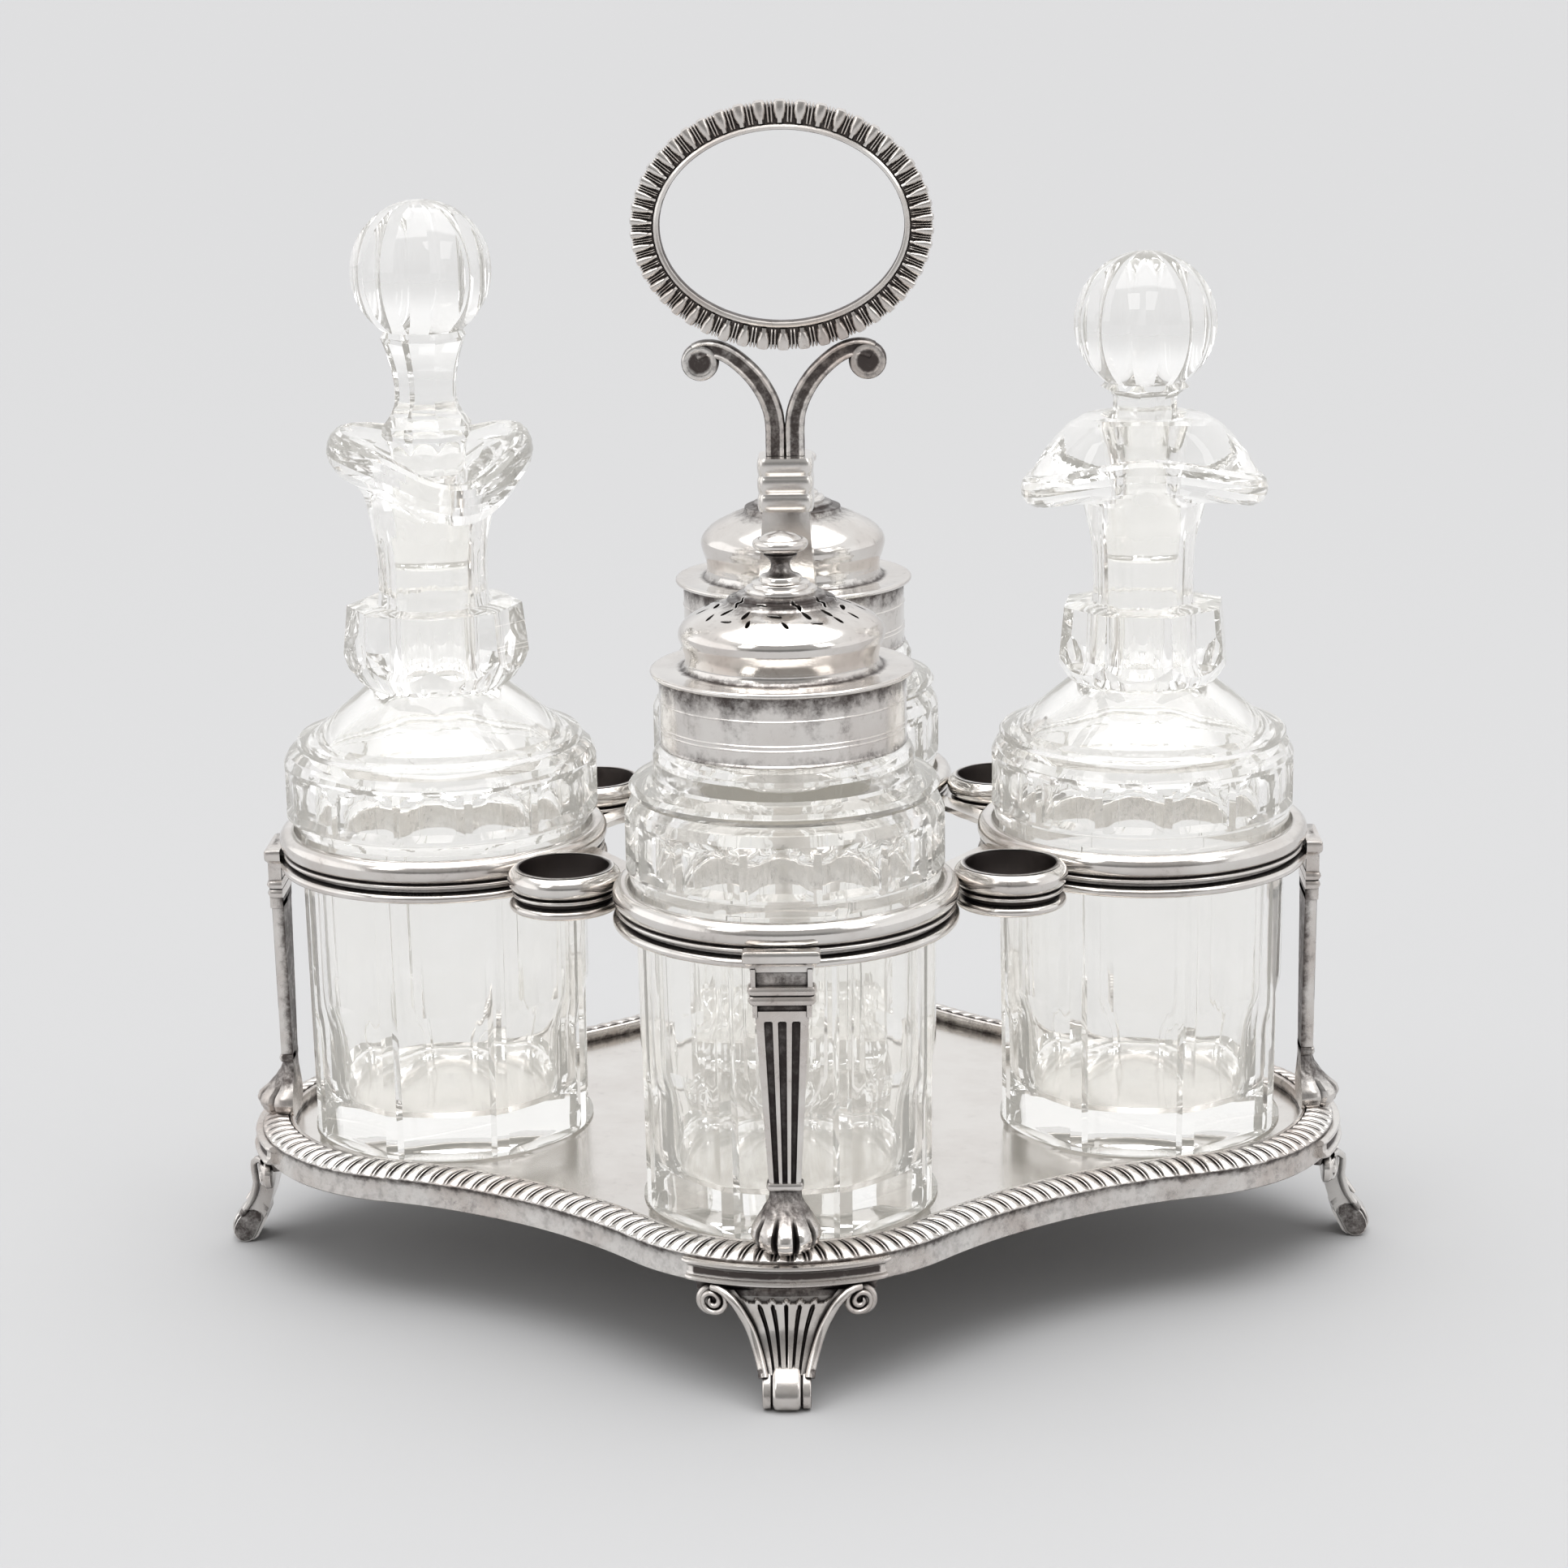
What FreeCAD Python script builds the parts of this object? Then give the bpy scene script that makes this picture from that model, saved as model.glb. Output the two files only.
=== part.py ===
"""Cruet set: a silver stand on four feet that holds two stoppered glass bottles and two lidded glass casters.

Millimetres, +Z up. The origin is on the table, under the centre of the tray. The two bottles stand at +X and -X,
the two casters at -Y (pierced lid) and +Y (blind lid). Every sub-part is a document object labelled as its node.
"""

import FreeCAD, Part
import math
import os
import Sketcher

from FreeCAD import Placement, Rotation, Vector

doc = FreeCAD.newDocument("CruetSet")
sheet = doc.addObject("Spreadsheet::Sheet", "Sizes")


class Measure:
    """A length that knows its number and the spreadsheet expression that gives it."""

    def __init__(self, value, text):
        self.value = float(value)
        self.text = text

    @staticmethod
    def of(other):
        return other if isinstance(other, Measure) else Measure(other, repr(float(other)))

    def _join(self, other, sign, value):
        return Measure(value, f"({self.text} {sign} {Measure.of(other).text})")

    def __add__(self, other):
        return self._join(other, "+", self.value + Measure.of(other).value)

    def __sub__(self, other):
        return self._join(other, "-", self.value - Measure.of(other).value)

    def __mul__(self, other):
        return self._join(other, "*", self.value * Measure.of(other).value)

    def __neg__(self):
        return Measure(-self.value, f"(-1 * {self.text})")


def size(alias, value):
    """Adds one driving dimension to the sheet and returns it as a Measure."""
    size.row += 1
    sheet.set(f"A{size.row}", alias)
    sheet.set(f"B{size.row}", str(value))
    sheet.setAlias(f"B{size.row}", alias)
    return Measure(value, f"Sizes.{alias}")


size.row = 0

# Layout: a lozenge of four stations
side_station = size("side_station", 74.0)
end_station = size("end_station", 46.0)

# Tray
floor_top = size("floor_top", 27.4)
floor_thick = size("floor_thick", 1.4)
tray_radius = size("tray_radius", 41.4)
waist_radius = size("waist_radius", 112.0)
border_width = size("border_width", 7.0)
border_wall = size("border_wall", 1.2)
border_rise = size("border_rise", 3.0)
apron_height = size("apron_height", 4.4)
apron_low = size("apron_low", 22.7)

# Gallery rings
ring_outer = size("ring_outer", 34.7)
ring_inner = size("ring_inner", 31.5)
ring_low = size("ring_low", 85.0)
ring_height = size("ring_height", 8.6)
stopper_ring_outer = size("stopper_ring_outer", 11.4)
stopper_ring_inner = size("stopper_ring_inner", 9.6)
stopper_ring_across = size("stopper_ring_across", 45.2)
stopper_ring_along = size("stopper_ring_along", 36.3)
strap_thick = size("strap_thick", 1.2)
strap_width = size("strap_width", 4.6)
strap_top = size("strap_top", 90.0)
strap_end_across = size("strap_end_across", 30.2)
strap_end_along = size("strap_end_along", 30.9)
strap_side_across = size("strap_side_across", 42.6)
strap_side_along = size("strap_side_along", 10.6)

# Pilasters
pilaster_back = size("pilaster_back", 34.0)
pilaster_face = size("pilaster_face", 36.7)
pilaster_top = size("pilaster_top", 88.2)
abacus_low = size("abacus_low", 84.4)
beads_top = size("beads_top", 82.6)
beads_low = size("beads_low", 79.6)
capital_low = size("capital_low", 77.2)
shaft_low = size("shaft_low", 40.8)
claw_low = size("claw_low", 28.8)
flute_depth = size("flute_depth", 0.7)

# Feet
bracket_reach = size("bracket_reach", 1.9)
bracket_turn = size("bracket_turn", 55.0)
foot_width = size("foot_width", 19.0)
foot_waist = size("foot_waist", 10.6)
toe_width = size("toe_width", 9.8)
volute_radius = size("volute_radius", 3.3)
volute_spread = size("volute_spread", 14.3)
volute_height = size("volute_height", 19.3)
volute_thick = size("volute_thick", 3.2)

# Stem and handle
stem_width = size("stem_width", 12.2)
stem_neck = size("stem_neck", 9.6)
stem_taper_start = size("stem_taper_start", 141.0)
stem_top = size("stem_top", 160.0)
reed_height = size("reed_height", 3.75)
collar_width = size("collar_width", 10.8)
arm_thick = size("arm_thick", 3.9)
arm_depth = size("arm_depth", 4.4)
arm_radius = size("arm_radius", 14.0)
arm_rise = size("arm_rise", 8.4)
scroll_radius = size("scroll_radius", 3.9)
loop_height = size("loop_height", 218.2)
loop_half_width = size("loop_half_width", 31.0)
loop_half_height = size("loop_half_height", 25.4)
loop_band = size("loop_band", 6.1)
loop_depth = size("loop_depth", 5.4)
stud_radius = size("stud_radius", 3.0)
stud_length = size("stud_length", 18.0)
stud_bite = size("stud_bite", 10.0)
washer_radius = size("washer_radius", 7.0)
washer_thick = size("washer_thick", 1.2)
nut_height = size("nut_height", 4.2)
nut_corner = size("nut_corner", 6.4)

# Glass
glass_base = size("glass_base", 30.3)
glass_body = size("glass_body", 31.0)
glass_wall = size("glass_wall", 3.6)
glass_floor = size("glass_floor", 7.5)
band_low = size("band_low", 96.6)
band_top = size("band_top", 109.0)
bevel_low = size("bevel_low", 94.2)
left_band = size("left_band", 32.9)
right_band = size("right_band", 31.6)
caster_band = size("caster_band", 31.8)
neck_bore = size("neck_bore", 7.4)
lip_depth = size("lip_depth", 15.0)
plug_gap = size("plug_gap", 0.05)
plug_mouth = size("plug_mouth", 7.9)
plug_end = size("plug_end", 7.1)
plug_low = size("plug_low", 149.0)
ball_radius = size("ball_radius", 14.6)
left_mouth = size("left_mouth", 172.0)
left_ball = size("left_ball", 210.0)
left_flare = size("left_flare", 178.2)
left_plug_top = size("left_plug_top", 176.0)
right_mouth = size("right_mouth", 178.7)
right_ball = size("right_ball", 197.6)
right_flare = size("right_flare", 178.0)
right_plug_top = size("right_plug_top", 176.0)

# Caster fittings
caster_neck = size("caster_neck", 22.0)
caster_neck_top = size("caster_neck_top", 127.6)
caster_bore = size("caster_bore", 19.2)
collar_outer = size("collar_outer", 24.4)
collar_wall = size("collar_wall", 0.8)
collar_low = size("collar_low", 121.9)
collar_top = size("collar_top", 135.8)
cement_top = size("cement_top", 127.0)
sleeve_gap = size("sleeve_gap", 0.05)
sleeve_low = size("sleeve_low", 128.6)
shell_wall = size("shell_wall", 0.9)
flange_radius = size("flange_radius", 26.4)
flange_thick = size("flange_thick", 1.4)
dome_waist = size("dome_waist", 19.1)
dome_bulge = size("dome_bulge", 20.6)
pierced_rise = size("pierced_rise", 14.6)
blind_rise = size("blind_rise", 16.6)
finial_foot = size("finial_foot", 7.2)
finial_height = size("finial_height", 12.2)
finial_button = size("finial_button", 5.5)

doc.recompute()


# Helpers


def body(name, x=0.0, y=0.0, z=0.0, turn=0.0):
    """An empty body labelled as its node, standing at x, y, z and turned about +Z."""
    made = doc.addObject("PartDesign::Body", name)
    made.Label = name
    place = [Measure.of(c) for c in (x, y, z)]
    made.Placement = Placement(Vector(*(c.value for c in place)), Rotation(Vector(0, 0, 1), turn))
    for axis, measure in zip("xyz", place):
        if "Sizes" in measure.text:
            made.setExpression(f"Placement.Base.{axis}", measure.text)
    return made


def new_sketch(owner, role, name, offset=0.0):
    """An empty sketch on one of the body's own origin planes, shifted along its normal."""
    made = owner.newObject("Sketcher::SketchObject", name)
    plane = next(o for o in owner.Origin.OriginFeatures if o.Role == role)
    made.AttachmentSupport = [(plane, "")]
    made.MapMode = "FlatFace"
    shift = Measure.of(offset)
    made.AttachmentOffset = Placement(Vector(0, 0, shift.value), Rotation())
    if "Sizes" in shift.text:
        made.setExpression("AttachmentOffset.Base.z", shift.text)
    return made


def bind(sketch, first, measures):
    """Binds the constraints from number first on to the sheet, one measure each."""
    for index, measure in enumerate(measures):
        if "Sizes" in measure.text:
            sketch.setExpression(f"Constraints[{first + index}]", measure.text)


def pin(sketch, geometry, end, x, y):
    """Fixes one point of the sketch at x, y, each bound to the sheet."""
    for kind, measure, axis in (("DistanceX", Measure.of(x), -2), ("DistanceY", Measure.of(y), -1)):
        if abs(measure.value) < 1e-9:
            sketch.addConstraint(Sketcher.Constraint("PointOnObject", geometry, end, axis))
            continue
        number = sketch.addConstraint(Sketcher.Constraint(kind, -1, 1, geometry, end, measure.value))
        bind(sketch, number, [measure])


def arc_between(start, end, radius):
    """The arc from start to end. A positive radius turns left on the way, a negative one turns right."""
    middle = (start + end) * 0.5
    chord = end - start
    left = Vector(-chord.y, chord.x, 0).normalize()
    reach = math.sqrt(max(radius * radius - chord.Length ** 2 / 4.0, 0.0))
    centre = middle + left * math.copysign(reach, radius)
    first = math.atan2(start.y - centre.y, start.x - centre.x)
    last = math.atan2(end.y - centre.y, end.x - centre.x)
    circle = Part.Circle(centre, Vector(0, 0, 1), abs(radius))
    if radius > 0:
        return Part.ArcOfCircle(circle, first, last)
    return Part.ArcOfCircle(circle, last, first)


def outline(sketch, corners):
    """A closed outline. A corner is (x, y), or (x, y, radius) where an arc leads on to the next corner."""
    spots = [Vector(Measure.of(c[0]).value, Measure.of(c[1]).value, 0) for c in corners]
    count = len(corners)
    first = sketch.GeometryCount
    starts = []
    ends = []
    radii = []
    for index, corner in enumerate(corners):
        here, there = spots[index], spots[(index + 1) % count]
        if len(corner) == 3:
            sketch.addGeometry(arc_between(here, there, Measure.of(corner[2]).value), False)
            backwards = Measure.of(corner[2]).value < 0
            starts.append(2 if backwards else 1)
            ends.append(1 if backwards else 2)
            radii.append((first + index, Measure.of(corner[2])))
        else:
            sketch.addGeometry(Part.LineSegment(here, there), False)
            starts.append(1)
            ends.append(2)
    joints = [
        Sketcher.Constraint("Coincident", first + i, ends[i], first + (i + 1) % count, starts[(i + 1) % count])
        for i in range(count)
    ]
    sketch.addConstraint(joints)
    for index, corner in enumerate(corners):
        pin(sketch, first + index, starts[index], corner[0], corner[1])
    for geometry, radius in radii:
        sketch.addConstraint(Sketcher.Constraint("Radius", geometry, abs(radius.value)))


def circle(sketch, x, y, radius):
    """A full circle whose centre and radius are bound to the sheet."""
    radius = Measure.of(radius)
    spot = Vector(Measure.of(x).value, Measure.of(y).value, 0)
    number = sketch.addGeometry(Part.Circle(spot, Vector(0, 0, 1), radius.value), False)
    bound = sketch.addConstraint(Sketcher.Constraint("Radius", number, radius.value))
    bind(sketch, bound, [radius])
    pin(sketch, number, 3, x, y)


def spin(owner, corners, name="Turned", cut=False):
    """Turns a half section, given as (radius, height) corners, about the body's own Z axis."""
    sketch = new_sketch(owner, "XZ_Plane", name + "Section")
    outline(sketch, corners)
    kind = "PartDesign::Groove" if cut else "PartDesign::Revolution"
    feature = owner.newObject(kind, name)
    feature.Profile = sketch
    feature.ReferenceAxis = (sketch, ["V_Axis"])
    feature.Angle = 360
    return feature


def raise_pad(owner, sketch, length, name="Pad", both=False):
    """Pads a sketch by a length from the sheet, to one side or evenly to both sides."""
    feature = owner.newObject("PartDesign::Pad", name)
    feature.Profile = sketch
    length = Measure.of(length)
    feature.Length = length.value
    if "Sizes" in length.text:
        feature.setExpression("Length", length.text)
    if both:
        feature.SideType = "Symmetric"
    return feature


STATIONS = {
    "front": (0.0, -end_station, -90.0),
    "back": (0.0, end_station, 90.0),
    "left": (-side_station, 0.0, 180.0),
    "right": (side_station, 0.0, 0.0),
}
CORNERS = {"front_left": (-1, -1), "front_right": (1, -1), "back_left": (-1, 1), "back_right": (1, 1)}


# Tray: a floor plate inside a sloping border with a plain apron


def tray_outline(sketch, inset):
    """Four convex arcs round the stations, joined by four hollow arcs that they are tangent to."""
    swell = tray_radius - inset
    hollow = waist_radius + inset
    stations = [
        (side_station.value, 0.0),
        (0.0, end_station.value),
        (-side_station.value, 0.0),
        (0.0, -end_station.value),
    ]
    half_span = math.hypot(side_station.value, end_station.value) / 2.0
    reach = math.sqrt((tray_radius.value + waist_radius.value) ** 2 - half_span ** 2)
    hollow_centres = []
    for (ax, ay), (bx, by) in zip(stations, stations[1:] + stations[:1]):
        away = Vector((ax + bx) / 2.0, (ay + by) / 2.0, 0)
        across = Vector(by - ay, ax - bx, 0).normalize()
        across = across if across.dot(away) > 0 else across * -1
        hollow_centres.append(away + across * reach)
    first = sketch.GeometryCount
    for index, (sx, sy) in enumerate(stations):
        station = Vector(sx, sy, 0)
        before = hollow_centres[index - 1] - station
        after = hollow_centres[index] - station
        ring = Part.Circle(station, Vector(0, 0, 1), swell.value)
        low = math.atan2(before.y, before.x)
        high = math.atan2(after.y, after.x)
        sketch.addGeometry(Part.ArcOfCircle(ring, low, high), False)
        following = Vector(*stations[(index + 1) % 4], 0)
        centre = hollow_centres[index]
        ring = Part.Circle(centre, Vector(0, 0, 1), hollow.value)
        low = math.atan2(following.y - centre.y, following.x - centre.x)
        high = math.atan2(station.y - centre.y, station.x - centre.x)
        sketch.addGeometry(Part.ArcOfCircle(ring, low, high), False)
    for index in range(4):
        swollen = first + 2 * index
        hollowed = swollen + 1
        following = first + (2 * index + 2) % 8
        sketch.addConstraint(Sketcher.Constraint("Tangent", swollen, 2, hollowed, 2))
        sketch.addConstraint(Sketcher.Constraint("Tangent", hollowed, 1, following, 1))
    at = [(side_station, 0.0), (0.0, end_station), (-side_station, 0.0), (0.0, -end_station)]
    for index, (x, y) in enumerate(at):
        for geometry, radius in ((first + 2 * index, swell), (first + 2 * index + 1, hollow)):
            number = sketch.addConstraint(Sketcher.Constraint("Radius", geometry, radius.value))
            bind(sketch, number, [radius])
        pin(sketch, first + 2 * index, 3, x, y)


def make_tray_plate():
    """The flat floor, with the hole that the stem's stud passes through."""
    plate = body("tray_plate", z=floor_top - floor_thick)
    sketch = new_sketch(plate, "XY_Plane", "FloorOutline")
    tray_outline(sketch, border_width)
    circle(sketch, 0.0, 0.0, stud_radius + plug_gap)
    raise_pad(plate, sketch, floor_thick, "Floor")


def make_tray_border():
    """The sloping border and its apron, one section carried round the whole outline."""
    border = body("tray_border")
    spine = new_sketch(border, "XY_Plane", "BorderPath")
    tray_outline(spine, Measure.of(0.0))
    edge = side_station + tray_radius
    apron_top = apron_low + apron_height
    inner = edge - border_width
    crest = apron_top + border_rise
    under = floor_top - floor_thick
    section = new_sketch(border, "XZ_Plane", "BorderSection")
    outline(
        section,
        [
            (edge, apron_low),
            (edge, apron_top, 6.5),
            (inner + 1.4, crest),
            (inner, crest - 0.4),
            (inner, under),
            (inner + 1.4, under),
            (inner + 2.0, crest - border_wall - 0.4, -6.0),
            (edge - border_wall, apron_top - 0.6),
            (edge - border_wall, apron_low),
        ],
    )
    sweep = border.newObject("PartDesign::AdditivePipe", "BorderSweep")
    sweep.Profile = section
    sweep.Spine = (spine, [])
    sweep.Mode = "Frenet"


# Gallery: bottle rings, stopper rings, straps and pilasters


def ring_section(outer, inner):
    """The moulded band of every ring: a round rail over a groove over a small bead."""
    top = ring_low + ring_height
    return [
        (inner, ring_low),
        (outer - 1.0, ring_low, 1.0),
        (outer - 1.0, ring_low + 1.9),
        (outer - 1.7, ring_low + 2.0),
        (outer - 1.7, ring_low + 3.1),
        (outer - 0.8, ring_low + 3.2),
        (outer - 0.8, ring_low + 3.9, 2.4),
        (outer - 1.4, top - 0.5, 1.2),
        (inner + 0.5, top),
        (inner, top - 0.6),
    ]


def make_rings():
    for place, (x, y, turn) in STATIONS.items():
        spin(body(f"bottle_ring_{place}", x, y, 0.0, turn), ring_section(ring_outer, ring_inner), "Rail")
    for place, (east, north) in CORNERS.items():
        x, y = stopper_ring_across * east, stopper_ring_along * north
        ring = body(f"stopper_ring_{place}", x, y)
        spin(ring, ring_section(stopper_ring_outer, stopper_ring_inner), "Rail")


def make_straps():
    """Between each pair of neighbouring bottle rings runs a flat strap, on the inner side of the stopper ring."""
    near_end = Vector(strap_end_across.value, strap_end_along.value, 0)
    near_side = Vector(strap_side_across.value, strap_side_along.value, 0)
    run = (near_side - near_end).normalize()
    for place, (east, north) in CORNERS.items():
        strap = body(f"ring_strap_{place}", z=strap_top - strap_thick)
        sketch = new_sketch(strap, "XY_Plane", "StrapOutline")
        ends = ((strap_end_across, strap_end_along), (strap_side_across, strap_side_along))
        corners = []
        for (across, along), side in ((ends[0], -0.5), (ends[1], -0.5), (ends[1], 0.5), (ends[0], 0.5)):
            x = across - strap_width * (run.y * side)
            y = along + strap_width * (run.x * side)
            corners.append((x * east, y * north))
        outline(sketch, corners)
        raise_pad(strap, sketch, strap_thick, "Strap")


def slab(owner, name, back, front, half_width, low, top, top_half_width=None):
    """A block that faces +X: it runs back to front, is symmetric across Y and may taper upwards."""
    sketch = new_sketch(owner, "YZ_Plane", name + "Face", back)
    above = half_width if top_half_width is None else top_half_width
    corners = [(-Measure.of(half_width), low), (half_width, low), (above, top), (-Measure.of(above), top)]
    outline(sketch, corners)
    return raise_pad(owner, sketch, Measure.of(front) - back, name)


def make_pilasters():
    """Flat fluted strips that stand on claw feet and carry the bottle rings at their outer sides."""
    for place, (x, y, turn) in STATIONS.items():
        post = body(f"pilaster_{place}", x, y, 0.0, turn)
        slab(post, "Shaft", pilaster_back, pilaster_face, 3.0, shaft_low, capital_low, 5.1)
        slab(post, "Capital", pilaster_back, pilaster_face - 0.3, 5.6, capital_low, abacus_low)
        slab(post, "Necking", pilaster_back, pilaster_face + 0.7, 6.4, beads_low, beads_top)
        slab(post, "Abacus", pilaster_back, pilaster_face + 0.4, 7.4, abacus_low - 0.2, pilaster_top)
        slab(post, "Bead", pilaster_back, pilaster_face + 0.5, 3.5, shaft_low, shaft_low + 1.8)
        carve_flutes(post)
        make_claw(post)


def carve_flutes(post):
    """Three shallow flutes with round tops that widen with the shaft."""
    flutes = new_sketch(post, "YZ_Plane", "FluteFaces", pilaster_face)
    for low_middle, high_middle in ((-1.45, -2.2), (0.0, 0.0), (1.45, 2.2)):
        low, top = shaft_low + 2.0, capital_low - 2.2
        corners = [(low_middle - 0.45, low), (low_middle + 0.45, low), (high_middle + 0.75, top, 0.85)]
        outline(flutes, corners + [(high_middle - 0.75, top)])
    carving = post.newObject("PartDesign::Pocket", "Flutes")
    carving.Profile = flutes
    carving.Length = flute_depth.value
    carving.setExpression("Length", flute_depth.text)


def make_claw(post):
    """The claw spreads from the foot of the shaft down to the tray's border."""
    claw = post.newObject("PartDesign::AdditiveLoft", "Claw")
    levels = []
    for height, half, front in ((12.0, 2.8, 36.5), (5.0, 5.2, 40.6), (2.0, 6.6, 42.2), (0.0, 6.2, 41.4)):
        level = new_sketch(post, "XY_Plane", f"ClawLevel{len(levels)}", claw_low + height)
        right = [(pilaster_back, -half), (front - half * 0.4, -half), (front, -half * 0.5)]
        left = [(front, half * 0.5), (front - half * 0.4, half), (pilaster_back, half)]
        outline(level, right + left)
        levels.append(level)
    claw.Profile = levels[0]
    claw.Sections = levels[1:]


def make_feet():
    """Bracket feet: a moulded bracket round the apron, two volutes and a leg that ends in a rolled toe."""
    for place, (x, y, turn) in STATIONS.items():
        foot = body(f"foot_{place}", x, y, 0.0, turn)
        make_bracket(foot)
        make_leg(foot)
        trim_leg(foot)
        make_volutes(foot)


def make_bracket(foot):
    """Two round mouldings that follow the apron and reach evenly to both sides of the leg."""
    groove = apron_low + 2.4
    top = apron_low + apron_height
    section = new_sketch(foot, "XZ_Plane", "BracketSection")
    outline(
        section,
        [
            (tray_radius, apron_low),
            (tray_radius + bracket_reach - 0.6, apron_low, 1.3),
            (tray_radius + bracket_reach - 0.6, groove),
            (tray_radius + bracket_reach - 1.0, groove + 0.3, 1.2),
            (tray_radius + bracket_reach - 1.2, top),
            (tray_radius, top),
        ],
    )
    bracket = foot.newObject("PartDesign::Revolution", "Bracket")
    bracket.Profile = section
    bracket.ReferenceAxis = (section, ["V_Axis"])
    bracket.Angle = bracket_turn.value
    bracket.setExpression("Angle", bracket_turn.text)
    bracket.Midplane = True


def make_leg(foot):
    """Side view of the leg: it curves in under the tray, then out again to the rolled toe."""
    edge = tray_radius
    side = new_sketch(foot, "XZ_Plane", "LegSide")
    outline(
        side,
        [
            (edge + 0.2, apron_low + 1.6),
            (edge + 0.2, apron_low),
            (edge - 2.8, apron_low, 40.0),
            (edge + 0.4, 7.0),
            (edge + 3.4, 1.4, 2.6),
            (edge + 5.0, 0.0),
            (edge + 6.6, 0.0, 3.0),
            (edge + 7.6, 5.6, 8.0),
            (edge + 3.4, 10.4, -14.0),
            (edge + 1.4, 16.6),
            (edge + bracket_reach, apron_low - 1.6),
            (edge + bracket_reach - 0.4, apron_low + 1.6),
        ],
    )
    raise_pad(foot, side, foot_width, "Leg", both=True)


def trim_leg(foot):
    """Front view of the leg: both flanks sweep in from the full width to the toe."""
    wide = foot_width * 0.5
    beyond = wide + 2.0
    for name, hand in (("TrimLeft", -1), ("TrimRight", 1)):
        trim = new_sketch(foot, "YZ_Plane", name + "Face", tray_radius + 12.0)
        outline(
            trim,
            [
                (beyond * hand, -2.0),
                (toe_width * (0.5 * hand), -2.0),
                (toe_width * (0.5 * hand), 2.0),
                (foot_waist * (0.5 * hand), 6.6, -45.0 * hand),
                (wide * hand, 17.5),
                (wide * hand, 18.6),
                (beyond * hand, 18.6),
            ],
        )
        cut = foot.newObject("PartDesign::Pocket", name)
        cut.Profile = trim
        cut.Length = 20.0


def make_volutes(foot):
    """A scroll end on each side of the leg, joined to it under the bracket."""
    faces = new_sketch(foot, "YZ_Plane", "VoluteFaces", tray_radius - volute_thick)
    for hand in (-1, 1):
        circle(faces, volute_spread * hand, volute_height, volute_radius)
    raise_pad(foot, faces, volute_thick, "Volutes")
    webs = new_sketch(foot, "YZ_Plane", "WebFaces", tray_radius - volute_thick)
    for hand in (-1, 1):
        root = foot_width * (0.45 * hand)
        tip = volute_spread * hand
        low = volute_height + 0.6
        outline(webs, [(root, low), (tip, low), (tip, apron_low), (root, apron_low)])
    raise_pad(foot, webs, volute_thick, "Webs")


# Stem, collar, scrolled arms and carrying loop


def square(owner, name, half, height):
    level = new_sketch(owner, "XY_Plane", name, height)
    outline(level, [(half, -half), (half, half), (-half, half), (-half, -half)])
    return level


def make_stem():
    column = body("stem_column")
    shaft = square(column, "ShaftFoot", stem_width * 0.5, floor_top)
    raise_pad(column, shaft, stem_taper_start - floor_top, "Shaft")
    spire = column.newObject("PartDesign::AdditiveLoft", "Spire")
    spire.Profile = square(column, "SpireFoot", stem_width * 0.5, stem_taper_start)
    spire.Sections = [square(column, "SpireTop", stem_neck * 0.5, stem_top)]
    socket_top = floor_top + stud_bite
    spin(column, [(0.0, floor_top), (stud_radius, floor_top), (stud_radius, socket_top), (0.0, socket_top)],
         "StudSocket", cut=True)

    collar = body("stem_collar")
    face = new_sketch(collar, "XZ_Plane", "ReedFace")
    half = collar_width * 0.5
    right = [(half, stem_top + reed_height * n, 2.4) for n in range(3)]
    left = [(-half, stem_top + reed_height * n, 2.4) for n in (3, 2, 1)]
    outline(face, right + [(half, stem_top + reed_height * 3)] + left + [(-half, stem_top)])
    raise_pad(collar, face, collar_width - 0.8, "Reeds", both=True)

    stud_low = floor_top + stud_bite - stud_length
    stud = body("stem_stud", z=stud_low)
    spin(stud, [(0.0, 0.0), (stud_radius - 0.5, 0.0), (stud_radius, 0.6), (stud_radius, stud_length),
                (0.0, stud_length)], "Stud")
    under = floor_top - floor_thick
    washer = body("stem_washer", z=under - washer_thick)
    spin(washer, [(stud_radius + plug_gap, 0.0), (washer_radius, 0.0), (washer_radius, washer_thick),
                  (stud_radius + plug_gap, washer_thick)], "Washer")
    nut = body("stem_nut", z=under - washer_thick - nut_height)
    hexagon = new_sketch(nut, "XY_Plane", "NutFlats")
    turns = [math.radians(60 * n) for n in range(6)]
    outline(hexagon, [(nut_corner * math.cos(t), nut_corner * math.sin(t)) for t in turns])
    circle(hexagon, 0.0, 0.0, stud_radius)
    raise_pad(nut, hexagon, nut_height, "Nut")


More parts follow.
